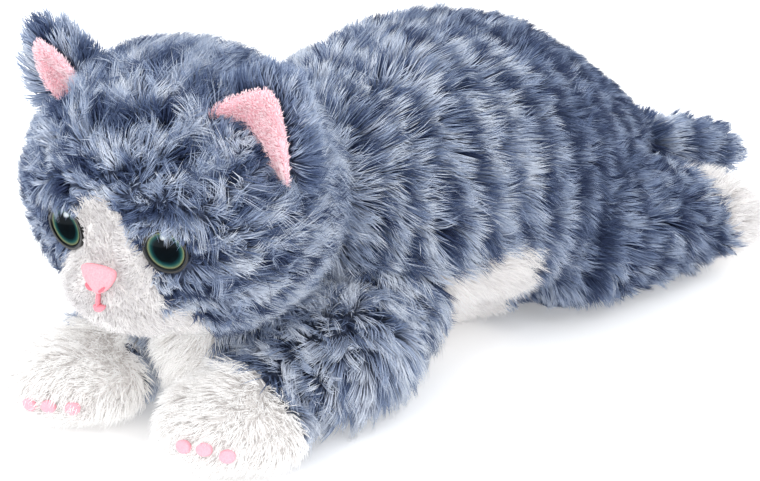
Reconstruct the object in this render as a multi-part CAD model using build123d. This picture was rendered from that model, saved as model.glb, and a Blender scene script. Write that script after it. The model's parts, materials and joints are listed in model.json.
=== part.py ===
"""Interactive plush kitten lying on its belly: one STEP file for each separate piece.

Frame: millimetres, +Z up, the kitten faces -Y, its left side is +X. The origin is on the flat
patch of the belly that rests on the ground. A plush piece is modelled out to the middle of its
pile. The head and what it carries are drawn in the head's own frame, centred on the head, and
then placed on the neck pivot, turned a little to the left.
"""
from build123d import *
import math
import os

# ---------------------------------------------------------------- driving dimensions
PILE = 9.0                      # fabric and fur together, outer face to filling
SEAM_GAP = 0.3                  # between plush pieces that are sewn to each other

TORSO_START = (0.0, -10.0, 62.0)        # a point on the torso's axis
TORSO_SLOPE = 7.2                       # degrees that the axis falls towards the tail
TORSO_PROFILE = [                       # (distance along the axis, radius)
    (-98, 0), (-88, 27), (-72, 42), (-49, 54), (-16, 61), (10, 63),
    (44, 60), (92, 47), (124, 31), (142, 14.5), (148, 0),
]
SHOULDER_SEAM = 0.0             # the shoulder and rump panels meet here
BELLY_TOP = 36.0                # the white belly panel reaches this high
BELLY_SPAN = (-76.0, 110.0)
CHEST_CENTRE = (0.0, -118.0, 32.0)
CHEST_RADII = (38.0, 33.0)      # along Y, and across
NECK_PASSAGE = ((0.0, -124.0, 37.0), (0.0, -66.0, 60.0))
NECK_PASSAGE_RADIUS = 17.0

HEAD_RADII = (55.0, 49.0)       # along X, and across
HEAD_FORWARD = 29.3             # head centre in front of the neck pivot
HEAD_ABOVE = 15.0               # head centre above the neck pivot
NECK_PIVOT = (0.0, -126.0, 84.0)
HEAD_YAW = 9.0                  # degrees that the resting head is turned to its left
TURN_LIMIT = 20.0
NOD_UP, NOD_DOWN = -6.0, 8.0
HEAD_SWING_GAP = 1.5
CROWN_SEAM = 0.0                # the head's front and back panels meet here, in the head frame

FRONT_PAW_RADII = (17.3, 28.0)          # half height, radius
FRONT_PAWS = {"left": (30.0, -157.0, 17.0), "right": (-43.0, -163.0, 17.0)}
FRONT_ELBOWS = {"left": (36.0, -96.0, 27.0), "right": (-41.0, -97.0, 27.0)}
FRONT_LEG_PROFILE = [(-26, 0), (-18, 17), (0, 24), (26, 22), (50, 19.5), (65, 13), (71, 0)]

HIND_HIP = (34.5, 44.0, 35.0)
HIND_ANKLE = (51.0, 111.0, 22.5)
HIND_LEG_PROFILE = [(-35, 0), (-25, 24), (0, 33.5), (32, 30), (61, 22.5), (75, 15), (80, 0)]
HIND_PAW_CENTRE = (52.0, 123.0, 20.0)
HIND_PAW_RADII = (19.8, 21.0)

TAIL_PIVOT = (3.4, 103.0, 51.0)
TAIL_YAW, TAIL_DROOP = 12.0, 17.0
TAIL_RADIUS = 12.0
TAIL_PROFILE = [(0, 0), (3, 8), (12, 11.5), (40, TAIL_RADIUS), (64, 11), (72, 7.5), (75, 0)]
TAIL_START = 25.0               # from the pivot to the cover's inner end
TAIL_LIMIT = 12.0
TAIL_GAP = 1.0

MODULE = 1.0
GEAR_TEETH, PINION_TEETH = 30, 10
GEAR_CENTRES = MODULE * (GEAR_TEETH + PINION_TEETH) / 2
GEAR_WIDTH = 4.0

EYE_CENTRE = (21.0, -36.5, -4.0)        # left eye, middle of the cup's front face
EYE_OUT, EYE_DOWN = 11.0, 8.0           # degrees that an eye looks outwards and down
EYE_RADIUS = 8.5

EYE_SHANK = 2.5

HEAD_BUTTON = (0.0, -12.0, 30.0)
SKULL_RADII = (36.0, 30.0)
SKULL_WALL = 2.5
LUG_X = (17.0, 20.0)            # the two lugs that carry the nod pins
YOKE_X = (12.0, 15.0)
LUG_RADIUS = 6.0

CASE_LOW = (-27.0, -25.0, 22.0)
CASE_HIGH = (27.0, 62.0, 54.0)
CASE_WALL = 2.0
CASE_SPLIT = 44.0
CELL_RADIUS, CELL_LENGTH = 7.2, 50.5

os.makedirs("parts", exist_ok=True)


# ---------------------------------------------------------------- shape helpers
SEAM_ANGLE = 37.0       # where a revolved surface closes, away from the planes that cut it


def block(low, high):
    """A box between two corners."""
    size = [h - l for l, h in zip(low, high)]
    middle = [(h + l) / 2 for l, h in zip(low, high)]
    return Pos(*middle) * Box(*size)


def rod(start, end, radius):
    """A round bar between two points."""
    line = Vector(*end) - Vector(*start)
    plane = Plane(origin=start, z_dir=line)
    return plane * Cylinder(radius, line.length, align=(Align.CENTER, Align.CENTER, Align.MIN))


def tube(start, end, outer, inner):
    return rod(start, end, outer) - rod(start, end, inner)


def spheroid(along, across):
    """A ball stretched along Z."""
    return scale(Sphere(1), by=(across, across, along))


def wide_ball(half_width, radius):
    """A ball stretched along X, with the poles of its surface on Y."""
    return scale(Rot(90, 0, 0) * Rot(0, 0, SEAM_ANGLE) * Sphere(1), by=(half_width, radius, radius))


def spindle(profile):
    """A soft round form about Z, through (height, radius) stations; its ends are rounded."""
    points = [(radius, height) for height, radius in profile]
    curve = Spline(points, tangents=[(1, 0), (-1, 0)], tangent_scalars=[0.5, 0.5])
    face = make_face([curve, Line(points[-1], points[0])])
    return Rot(0, 0, SEAM_ANGLE) * revolve(Plane.XZ * face, Axis.Z, 360)


def shrunk(profile, amount):
    """The same profile, smaller by an amount all over."""
    first, last = profile[0][0], profile[-1][0]
    scale = (last - first - 2 * amount) / (last - first)
    middle = (first + last) / 2
    inner = []
    for height, radius in profile:
        inner.append((middle + (height - middle) * scale, max(radius - amount, 0)))
    return inner


def along(start, end):
    """A plane at start whose Z runs towards end."""
    return Plane(origin=start, z_dir=Vector(*end) - Vector(*start))


def above_ground(shape):
    return shape - block((-300, -300, -100), (300, 300, 0))


def mirrored(shape):
    """The same piece on the other side of the part or of the head."""
    return mirror(shape, about=Plane.YZ)


def gear_outline(teeth, chosen=None):
    """Points of a spur gear's outline; teeth outside chosen are left at the root circle."""
    pitch, root, tip = MODULE * teeth / 2, MODULE * (teeth / 2 - 1.15), MODULE * (teeth / 2 + 0.7)
    half_root, half_pitch, half_tip = 0.92 * MODULE, 0.6 * MODULE, 0.3 * MODULE
    points = []
    for tooth in range(teeth):
        middle = 2 * math.pi * tooth / teeth
        steps = [(root, -half_root), (pitch, -half_pitch), (tip, -half_tip)]
        steps += [(tip, half_tip), (pitch, half_pitch), (root, half_root)]
        if chosen is not None and tooth not in chosen:
            steps = [(root, -half_root), (root, half_root)]
        for radius, side in steps:
            angle = middle + side / radius
            points.append((radius * math.cos(angle), radius * math.sin(angle)))
    return points


def gear(teeth, width, bore):
    """A spur gear about Z, standing on z = 0, with one tooth on +X."""
    disc = extrude(make_face(Polyline(*gear_outline(teeth), close=True)), width)
    return disc - Pos(0, 0, width / 2) * Cylinder(bore, 2 * width)


# ---------------------------------------------------------------- plush body
def torso(shrink=0.0, grow=0.0):
    profile = shrunk(TORSO_PROFILE, shrink - grow)
    slope = math.radians(TORSO_SLOPE)
    plane = Plane(origin=TORSO_START, x_dir=(1, 0, 0), z_dir=(0, math.cos(slope), -math.sin(slope)))
    return plane * spindle(profile)


def chest(shrink=0.0, grow=0.0):
    length, radius = (r - shrink + grow for r in CHEST_RADII)
    return Plane(origin=CHEST_CENTRE, z_dir=(0, 1, 0)) * spheroid(length, radius)


def head_at(turn, nod):
    """The head frame with the neck turned and nodded by some degrees."""
    swing = Pos(*NECK_PIVOT) * Rot(0, 0, HEAD_YAW + turn) * Rot(nod, 0, 0)
    return swing * Pos(0, -HEAD_FORWARD, HEAD_ABOVE)


def head_ball(grow=0.0):
    half_width, radius = (r + grow for r in HEAD_RADII)
    return wide_ball(half_width, radius)


def clear_of_head(shape, gap):
    """Cut away what the head passes through as it turns and nods."""
    for turn in (-TURN_LIMIT, 0, TURN_LIMIT):
        for nod in (NOD_UP, NOD_DOWN):
            shape = shape - head_at(turn, nod) * head_ball(gap)
    return shape


def tail_plane(sway):
    yaw, droop = math.radians(TAIL_YAW + sway), math.radians(TAIL_DROOP)
    direction = (
        math.sin(yaw) * math.cos(droop),
        math.cos(yaw) * math.cos(droop),
        -math.sin(droop),
    )
    return Plane(origin=TAIL_PIVOT, z_dir=direction)


def clear_of_tail(shape, gap):
    """Cut away the fan that the tail's root sweeps."""
    yaw = math.radians(TAIL_YAW)
    sideways = Vector(math.cos(yaw), -math.sin(yaw), 0)
    plane = Plane(origin=TAIL_PIVOT, x_dir=sideways, z_dir=sideways.cross(tail_plane(0).z_dir))
    near, reach = TAIL_RADIUS + gap, 70.0
    far = near + reach * math.tan(math.radians(TAIL_LIMIT))
    fan = Polyline((-near, 0), (near, 0), (far, reach), (-far, reach), close=True)
    return shape - extrude(plane * make_face(fan), near, both=True)


def neck_passage():
    return rod(NECK_PASSAGE[0], NECK_PASSAGE[1], NECK_PASSAGE_RADIUS)


def torso_inside(shrink):
    return torso(shrink=shrink) - block((-300, -300, -100), (300, 300, shrink))


def largest(shape):
    """The biggest solid, without the slivers that a cut leaves."""
    return Part() + max(shape.solids(), key=lambda solid: solid.volume)


def belly_room():
    return block((-200, BELLY_SPAN[0], -1), (200, BELLY_SPAN[1], BELLY_TOP))


def shoulder_panel():
    front = above_ground(torso()) & block((-200, -200, -1), (200, SHOULDER_SEAM, 200))
    panel = front - belly_room() - torso_inside(PILE) - neck_passage()
    return clear_of_head(panel, HEAD_SWING_GAP)


def rump_panel():
    rear = above_ground(torso()) & block((-200, SHOULDER_SEAM, -1), (200, 300, 200))
    return clear_of_tail(rear - belly_room() - torso_inside(PILE), TAIL_GAP)


def belly_panel():
    """White underside, with the closed slit above the battery door."""
    panel = (above_ground(torso()) & belly_room()) - torso_inside(PILE)
    return panel - block((-0.5, 16, -1), (0.5, 60, PILE + 1))


def chest_panel():
    panel = above_ground(chest()) - torso(grow=SEAM_GAP) - chest(shrink=PILE) - neck_passage()
    return largest(clear_of_head(panel, HEAD_SWING_GAP) - neck_room())


def neck_room():
    """Room for the neck drive, between the cover and the filling."""
    return block((-17, -146, 14), (17, -93, 100))


def body_filling():
    """The polyester filling, with room for the mechanism."""
    filling = torso_inside(PILE + SEAM_GAP)
    filling = clear_of_head(filling, HEAD_SWING_GAP + SEAM_GAP)
    case_room = block((-29, -27, 18), (29, 72, 60))
    tail_room = block((-14, 72, 32), (22, 124, 68))
    return largest(filling - case_room - neck_room() - tail_room)


def clear_of_body(shape):
    return shape - torso(grow=SEAM_GAP) - chest(grow=SEAM_GAP)


def front_paw(side, grow=0.0):
    height, radius = (r + grow for r in FRONT_PAW_RADII)
    return Pos(*FRONT_PAWS[side]) * spheroid(height, radius)


def front_leg(side):
    x, y, z = FRONT_PAWS[side]
    leg = along(FRONT_ELBOWS[side], (x, y, z + 3)) * spindle(FRONT_LEG_PROFILE)
    leg = clear_of_body(above_ground(leg)) - front_paw(side, SEAM_GAP)
    return largest(clear_of_head(leg, HEAD_SWING_GAP))


def hind_paw(grow=0.0):
    height, radius = (r + grow for r in HIND_PAW_RADII)
    return Pos(*HIND_PAW_CENTRE) * spheroid(height, radius)


def hind_leg():
    leg = along(HIND_HIP, HIND_ANKLE) * spindle(HIND_LEG_PROFILE)
    return clear_of_tail(clear_of_body(above_ground(leg)) - hind_paw(SEAM_GAP), TAIL_GAP)


# ---------------------------------------------------------------- electronics case
def case_lower():
    """Tray: battery bay open below, a deck above the cells, and a rear bay."""
    low, high = CASE_LOW, (CASE_HIGH[0], CASE_HIGH[1], CASE_SPLIT)
    wall = CASE_WALL
    tray = block(low, high)
    tray -= block((low[0] + wall, low[1] + wall, 40.5), (high[0] - wall, high[1] - wall, 60))
    tray -= block((-23.5, -22.5, 0), (23.5, 39.5, 38.5))
    tray -= block((-25, 41.5, 24), (25, 60, 60))
    tray -= block((9, 47, 20), (19, 53, 30))
    for x in (-26.7, 24.3):
        tray += block((x, -24, 19.5), (x + 2.4, 40, 22))
    return tray


def case_upper():
    low, high = (CASE_LOW[0], CASE_LOW[1], CASE_SPLIT), CASE_HIGH
    wall = CASE_WALL
    lid = block(low, high)
    lid -= block(
        (low[0] + wall, low[1] + wall, 40),
        (high[0] - wall, high[1] - wall, high[2] - wall),
    )
    lid -= Pos(*BACK_BUTTON) * Cylinder(6.0, 30)
    for x, y in speaker_holes():
        lid -= Pos(x, y, high[2]) * Cylinder(1.1, 10)
    return lid


BACK_BUTTON = (0.0, -6.0, 54.0)
SPEAKER = (0.0, 38.0)


def speaker_holes():
    """One hole in the middle and a ring of six."""
    holes = [SPEAKER]
    for turn in range(6):
        angle = math.radians(60 * turn)
        holes.append((SPEAKER[0] + 7 * math.cos(angle), SPEAKER[1] + 7 * math.sin(angle)))
    return holes


def case_screws():
    screws = Part()
    for x in (-22.5, 22.5):
        for y in (-20.5, 57.5):
            screws += rod((x, y, 54.1), (x, y, 56), 2.6) + rod((x, y, 52.1), (x, y, 54.1), 1.3)
    return screws


def case_screw_holes():
    holes = Part()
    for x in (-22.5, 22.5):
        for y in (-20.5, 57.5):
            holes += rod((x, y, 51), (x, y, 54.05), 1.3)
    return holes


def battery_door():
    door = block((-24, -23, 20.3), (24, 40, 21.8))
    for step in range(4):
        y = 24 + 3 * step
        door += block((-8, y, 19.5), (8, y + 1.4, 20.3))
    return door


def battery_cells():
    cells = Part()
    for x in (-15, 0, 15):
        body = rod((x, -17, 30.2), (x, -17 + CELL_LENGTH - 1, 30.2), CELL_RADIUS)
        cells += body + rod((x, 32.5, 30.2), (x, 33.5, 30.2), 2.7)
    return cells


def battery_contacts():
    """A flat plate and a conical spring for each cell."""
    contacts = Part()
    for x in (-15, 0, 15):
        contacts += block((x - 5, 38.3, 25), (x + 5, 39.2, 36))
        spring = Pos(x, 35.9, 30.2) * Rot(90, 0, 0) * Cone(5.0, 2.8, 4.6)
        hollow = Pos(x, 35.9, 30.2) * Rot(90, 0, 0) * Cone(4.2, 2.0, 4.8)
        contacts += (spring - hollow)
        contacts += block((x - 5, -22.2, 25), (x + 5, -21.3, 36))
    return contacts


def circuit_board():
    """Board with controller, memory, amplifier, two capacitors and the touch switch."""
    board = block((-23, -21, 45), (23, 58, 46.6))
    for x in (-20, 20):
        for y in (-18, 36):
            board -= rod((x, y, 40), (x, y, 50), 1.6)
    chips = block((-10, 12, 46.6), (2, 22, 48.6)) + block((8, 12, 46.6), (14, 20, 48.2))
    chips += block((-20, 12, 46.6), (-14, 18, 48.0)) + block((-3, -9, 46.6), (3, -3, 49.0))
    cans = rod((-18, 24, 46.6), (-18, 24, 50.5), 3) + rod((17, 5, 46.6), (17, 5, 50.5), 3)
    return board + chips + cans


def speaker():
    """Basket, magnet side down, with its shallow cone."""
    x, y = SPEAKER
    basket = rod((x, y, 46.8), (x, y, 51.9), 13.5)
    return basket - Pos(x, y, 50.2) * Cone(4.5, 12.0, 3.6)


def purr_motor():
    can = rod((-23, 50.5, 32), (-6, 50.5, 32), 6) + rod((-6, 50.5, 32), (-5, 50.5, 32), 2.5)
    return can - rod((-9, 50.5, 32), (0, 50.5, 32), 1.1)


def purr_weight():
    """Half-round weight and its shaft."""
    disc = rod((-3.5, 50.5, 32), (2.5, 50.5, 32), 6)
    disc -= block((-6, 40, 32), (6, 60, 60))
    return disc + rod((-8.5, 50.5, 32), (3.2, 50.5, 32), 0.95) + rod(
        (-3.5, 50.5, 32), (2.5, 50.5, 32), 2.2
    )


def switch_body():
    body = block((7.2, 46.2, 24.2), (20.8, 53.8, 31))
    return body - block((8.8, 47.8, 24), (19.2, 52.2, 28))


def switch_knob():
    return block((12, 48.2, 19.8), (16, 51.8, 27.5))


def back_button():
    """Cap with a stem; it rests 1.4 mm above its switch."""
    x, y, z = BACK_BUTTON
    cap = rod((x, y, z + 1.6), (x, y, z + 4.0), 9)
    stem = rod((x, y, 50.4), (x, y, z + 1.6), 2.5)
    return cap + stem + rod((x, y, z - 1.2), (x, y, z + 1.6), 5.6)


# ---------------------------------------------------------------- neck
def on_neck(shape):
    """Place a piece drawn about the neck's turning axis, with z as it is."""
    return Pos(NECK_PIVOT[0], NECK_PIVOT[1], 0) * Rot(0, 0, HEAD_YAW) * shape


def neck_base():
    """Plate with a bearing housing, fixed in the chest."""
    plate = block((-14, -139, 27), (14, -94, 30))
    y = NECK_PIVOT[1]
    housing = plate + rod((0, y, 27), (0, y, 46), 8)
    housing -= rod((0, y, 20), (0, y, 60), 3.1)
    housing -= rod((0, y + GEAR_CENTRES, 20), (0, y + GEAR_CENTRES, 40), 2.0)
    for side in (-1, 1):
        for end in (-134, -99):
            housing -= rod((side * 10.5, end, 20), (side * 10.5, end, 40), 1.5)
    return housing


def neck_shaft():
    collar = rod((0, 0, 46.4), (0, 0, 48.5), 6)
    return on_neck(rod((0, 0, 18.5), (0, 0, 76), 3) + collar)


def turn_gear():
    """Driven gear on the lower end of the neck shaft, drawn with a tooth on +Y."""
    wheel = Rot(0, 0, 90) * gear(GEAR_TEETH, GEAR_WIDTH, 3.0)
    return Pos(NECK_PIVOT[0], NECK_PIVOT[1], 21) * wheel


def pinion(shaft_length):
    """Pinion with its shaft upwards, drawn with a gap facing -X."""
    wheel = extrude(make_face(Polyline(*gear_outline(PINION_TEETH), close=True)), GEAR_WIDTH + 0.6)
    wheel = Rot(0, 0, 180 + 180 / PINION_TEETH) * wheel
    return wheel + rod((0, 0, 0), (0, 0, shaft_length), 1.4)


def motor(length):
    """Small gear motor about Z, standing on z = 0, with a bore for the pinion's shaft."""
    can = rod((0, 0, 0), (0, 0, length), 8) + rod((0, 0, length), (0, 0, length + 2), 3)
    can += block((-1, -9.5, length - 4), (1, -7, length))
    return can - rod((0, 0, -1), (0, 0, 9), 1.7)


def yoke():
    """Base and two arms; the left arm also carries the nod motor."""
    base_low, base_high = -11.0, -7.5
    base = block((-YOKE_X[1], -6, base_low), (YOKE_X[1], 6, base_high))
    arms = Part()
    for side in (-1, 1):
        low, high = sorted((side * YOKE_X[0], side * YOKE_X[1]))
        arms += block((low, -6, base_high), (high, 6, 0)) + rod((low, 0, 0), (high, 0, 0), 6)
    low, high = YOKE_X
    bracket = Part() + rod((low, *nod_motor_place()), (high, *nod_motor_place()), 8)
    reach = Vector(0, *nod_motor_place())
    bar = Plane(origin=(low, 0, 0), x_dir=reach, z_dir=(1, 0, 0)) * Pos(10, 0, 1.5) * Box(20, 9, 3)
    whole = base + arms + bracket + bar
    whole -= rod((-30, 0, 0), (30, 0, 0), 2.0)
    whole -= rod((0, *nod_motor_place()), (30, *nod_motor_place()), 1.8)
    return whole - rod((0, 0, -20), (0, 0, -NECK_PIVOT[2] + 76), 3.0)


def nod_motor_place():
    """Y and Z of the nod pinion from the nod axis."""
    distance = math.hypot(HEAD_FORWARD, HEAD_ABOVE)
    return -GEAR_CENTRES * HEAD_FORWARD / distance, GEAR_CENTRES * HEAD_ABOVE / distance


def on_pivot(shape):
    """Place a piece drawn about the nod axis."""
    return Pos(*NECK_PIVOT) * Rot(0, 0, HEAD_YAW) * shape


def nod_pins():
    pins = Part()
    for side in (-1, 1):
        pins += rod((side * 10, 0, 0), (side * 20.8, 0, 0), 2.0)
        pins += rod((side * 9, 0, 0), (side * 10, 0, 0), 3.2)
    return pins


def nod_motor():
    y, z = nod_motor_place()
    can = rod((-12, y, z), (YOKE_X[0], y, z), 7) + rod((-14, y, z), (-12, y, z), 2.5)
    return can - rod((2, y, z), (20, y, z), 1.5)


def nod_pinion():
    y, z = nod_motor_place()
    place = Plane(origin=(24.2, y, z), x_dir=(0, y, z), z_dir=(-1, 0, 0))
    wheel = extrude(make_face(Polyline(*gear_outline(PINION_TEETH), close=True)), GEAR_WIDTH)
    wheel = Rot(0, 0, 180 + 180 / PINION_TEETH) * wheel
    return place * (wheel + rod((0, 0, 0), (0, 0, 20), 1.3))


# ---------------------------------------------------------------- head
def to_head(shape):
    return head_at(0, 0) * shape


def pivot_in_head(shape):
    """A piece drawn about the nod axis, in the head frame."""
    return Pos(0, HEAD_FORWARD, -HEAD_ABOVE) * shape


def clear_of_neck(shape):
    """Cut the upright hole below the nod axis and the room that the yoke needs."""
    shape = shape - pivot_in_head(rod((0, 0, -60), (0, 0, 0), 13))
    return shape - pivot_in_head(rod((-26, 0, 0), (26, 0, 0), 14))


def eye_frame(side=1):
    """Left eye, or right with side -1: Z looks out of the head."""
    out, down = math.radians(EYE_OUT), math.radians(EYE_DOWN)
    x, y, z = EYE_CENTRE
    look = (side * math.sin(out) * math.cos(down), -math.cos(out) * math.cos(down), -math.sin(down))
    return Plane(origin=(side * x, y, z), z_dir=look)


def clear_of_eyes(shape):
    """Cut the two sockets; behind each cup there is room for the washer."""
    for side in (-1, 1):
        socket = rod((0, 0, -3.4), (0, 0, 25), EYE_RADIUS + 0.4) + rod((0, 0, -11), (0, 0, -3.4), 6)
        shape = shape - eye_frame(side) * socket
    return shape


def eye_pair(shape):
    """The same piece in both eyes."""
    return Part() + eye_frame(1) * shape + eye_frame(-1) * shape


def eye_cup():
    cup = rod((0, 0, -3), (0, 0, 0), EYE_RADIUS) + rod((0, 0, -10), (0, 0, -3), EYE_SHANK)
    return cup + tube((0, 0, 0), (0, 0, 1.2), EYE_RADIUS, EYE_RADIUS - 0.8)


def eye_iris():
    return rod((0, 0, 0), (0, 0, 0.6), EYE_RADIUS - 0.8)


def eye_dome():
    """Clear cap: part of a ball that stands 4.4 mm proud of the iris."""
    base, rise = EYE_RADIUS - 0.8, 4.4
    ball = (base * base + rise * rise) / (2 * rise)
    cap = Pos(0, 0, 0.6 + rise - ball) * Sphere(ball)
    return cap & (Pos(0, 0, 20.6) * Box(40, 40, 40))


def eye_washer():
    return tube((0, 0, -7.4), (0, 0, -6.2), 5.5, EYE_SHANK)


def muzzle():
    return Pos(0, -34, -24) * (Plane.YZ * spheroid(26, 15))


def face_outline():
    """Front view of the white face: a narrow blaze that widens to the cheeks and chin."""
    right = [(0, 16), (4.5, 11), (7.5, 2), (9, -8), (17, -15), (27, -20), (32, -31), (28, -44)]
    left = [(-x, z) for x, z in right[:0:-1]]
    top = Spline(right + [(0, -60)] + left, periodic=True)
    return extrude(Plane.XZ * make_face(top), 80)


def head_half(front, grow, seam):
    """The part of the head ball in front of or behind the seam over its crown."""
    room = block((-90, -90, -90), (90, seam, 90)) if front else block((-90, seam, -90), (90, 90, 90))
    return head_ball(grow) & room


def front_shell():
    """The front half of the head's cover with its muzzle, eye sockets and neck hole."""
    outer = (head_ball() + muzzle()) & block((-90, -90, -90), (90, CROWN_SEAM, 90))
    return clear_of_eyes(clear_of_neck(outer - head_ball(-PILE)))


def head_back():
    return clear_of_neck(head_half(False, 0, CROWN_SEAM) - head_ball(-PILE))


def head_filling():
    """Two pads of filling, in front of and behind the crown seam."""
    inset = -PILE - SEAM_GAP
    front = clear_of_eyes(clear_of_neck(head_half(True, inset, CROWN_SEAM) - skull_ball(0.4)))
    x, y, z = HEAD_BUTTON
    front -= rod((x, y, z - 6), (x, y, z + 20), 9)
    back = clear_of_neck(head_half(False, inset, CROWN_SEAM + SEAM_GAP) - skull_ball(0.4))
    back -= pivot_in_head(rod((-26, 0, 0), (26, 0, 0), 18))
    return Part() + front + back


def skull_ball(grow=0.0):
    half_width, radius = (r + grow for r in SKULL_RADII)
    return wide_ball(half_width, radius)


def skull_front():
    shell = (skull_ball() & block((-60, -60, -60), (60, 0, 60))) - skull_ball(-SKULL_WALL)
    x, y, z = HEAD_BUTTON
    return shell - rod((x, y, z - 10), (x, y, z + 10), 3.4)


def skull_back():
    """Rear half of the hollow skull with the two lugs for the nod pins."""
    back = (skull_ball() & block((-60, 0, -60), (60, 60, 60))) - skull_ball(-SKULL_WALL)
    back = back - block((-16.5, 4, -40), (16.5, 40, 12))
    back = back - pivot_in_head(rod((LUG_X[1] + 0.3, 0, 0), (30, 0, 0), 17.5))
    distance = math.hypot(HEAD_FORWARD, HEAD_ABOVE)
    inwards = Vector(0, -HEAD_FORWARD, HEAD_ABOVE) / distance
    for side in (-1, 1):
        low = min(side * LUG_X[0], side * LUG_X[1])
        place = Plane(origin=(low, 0, 0), x_dir=inwards, z_dir=(1, 0, 0))
        arm = place * Pos(4.5, 0, 1.5) * Box(9, 12, 3)
        back += pivot_in_head(rod((low, 0, 0), (low + 3, 0, 0), LUG_RADIUS) + arm)
    return back - pivot_in_head(rod((-30, 0, 0), (30, 0, 0), 2.15))


def nod_sector():
    """Toothed sector on the left lug, about the nod axis."""
    facing = Vector(0, *nod_motor_place())
    chosen = {0, 1, 2, 3, 27, 28, 29}
    wheel = extrude(make_face(Polyline(*gear_outline(GEAR_TEETH, chosen), close=True)), 3.0)
    wedge = Polyline((0, 0), (22, -17), (22, 17), close=True)
    wheel = wheel & extrude(make_face(wedge), 3.0)
    wheel = wheel + rod((0, 0, 0), (0, 0, 3), LUG_RADIUS)
    wheel = Plane(origin=(LUG_X[1] + 0.8, 0, 0), x_dir=facing, z_dir=(1, 0, 0)) * wheel
    spacer = rod((LUG_X[1], 0, 0), (LUG_X[1] + 0.8, 0, 0), LUG_RADIUS)
    return wheel + spacer - rod((0, 0, 0), (30, 0, 0), 2.15)


def ear_plane():
    """Left ear: X runs outwards along its root, Y towards the tip, Z forwards."""
    return Plane(origin=(37.0, -7.0, 30.0), x_dir=(0.84, 0.12, -0.53), z_dir=(0.25, -0.95, 0.1))


def ear_outline(inset):
    tip = (6, 31 - 2.2 * inset)
    inner, outer = (-19 + 1.6 * inset, inset - 4), (17 - 1.2 * inset, inset - 4)
    sides = Spline(inner, (-9 + inset * 0.9, 15), tip, (15.5 - inset, 14), outer)
    return make_face([sides, Line(outer, inner)])


def ear_back():
    ear = ear_plane() * extrude(ear_outline(0), 6)
    return ear - head_ball(SEAM_GAP)


def ear_lining():
    lining = ear_plane() * (Pos(0, 0, 6) * extrude(ear_outline(2.5), 2))
    return lining - head_ball(SEAM_GAP)


def nose_pad():
    """Soft triangle, wide at the top."""
    corners = Polyline((-7.6, -11.2), (7.6, -11.2), (0, -21), close=True)
    flat = fillet(make_face(corners).vertices(), 2.2)
    pad = Pos(0, -45, 0) * extrude(Plane.XZ * flat, 6)
    return pad - muzzle() - head_ball()


def mouth_stitch():
    """A short upright line and a small mouth, standing just proud of the muzzle."""
    line = block((-0.5, -50, -25.5), (0.5, -45, -21.2))
    patch = Pos(0, -44, -26.2) * extrude(Plane.XZ * Ellipse(2.6, 1.7), 6)
    return line + patch - muzzle()


def head_button():
    x, y, z = HEAD_BUTTON
    return rod((x, y, z + 1.4), (x, y, z + 3.4), 7) + rod((x, y, z - 7), (x, y, z + 1.4), 3)


# ---------------------------------------------------------------- tail
def tail_cover():
    plane = tail_plane(0)
    cover = plane * Pos(0, 0, TAIL_START) * spindle(TAIL_PROFILE)
    return cover - plane * Pos(0, 0, 30) * Cylinder(2.8, 64)


def tail_arm():
    """Hub on the tail shaft and the rod that carries the tail."""
    x, y, z = TAIL_PIVOT
    hub = rod((x, y, z - 4), (x, y, z + 4), 5)
    arm = hub + tail_plane(0) * Pos(0, 0, 31) * Cylinder(2.5, 58)
    return arm - rod((x, y, z - 10), (x, y, z + 10), 2.5)


def tail_shaft():
    x, y, z = TAIL_PIVOT
    return rod((x, y, 34.5), (x, y, 58), 2.5)


def tail_gear():
    x, y, z = TAIL_PIVOT
    return Pos(x, y, 39) * (Rot(0, 0, -90) * gear(GEAR_TEETH, GEAR_WIDTH, 2.5))


def tail_bracket():
    """Plate below the gear with a bearing for the shaft, and a top bridge for the motor."""
    x, y, z = TAIL_PIVOT
    front = y - GEAR_CENTRES
    plate = block((x - 10, front - 10, 34), (x + 10, y + 5, 36.5))
    plate += block((x - 10, front - 10, 36.5), (x + 10, front - 8.5, 47))
    plate += block((x - 10, front - 10, 47), (x + 10, front + 5, 49))
    plate -= rod((x, y, 30), (x, y, 40), 2.65)
    return plate - rod((x, front, 44), (x, front, 52), 2.0)


def tail_motor():
    x, y, z = TAIL_PIVOT
    return Pos(x, y - GEAR_CENTRES, 49) * motor(14)


def turn_motor():
    return Pos(0, NECK_PIVOT[1] + GEAR_CENTRES, 30) * motor(17)


def turn_pinion():
    spin = Rot(0, 0, 90) * pinion(16)
    return Pos(0, NECK_PIVOT[1] + GEAR_CENTRES, 20.7) * spin


def tail_pinion():
    x, y, z = TAIL_PIVOT
    spin = Rot(0, 0, -90) * pinion(17)
    return Pos(x, y - GEAR_CENTRES, 38.7) * spin


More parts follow.
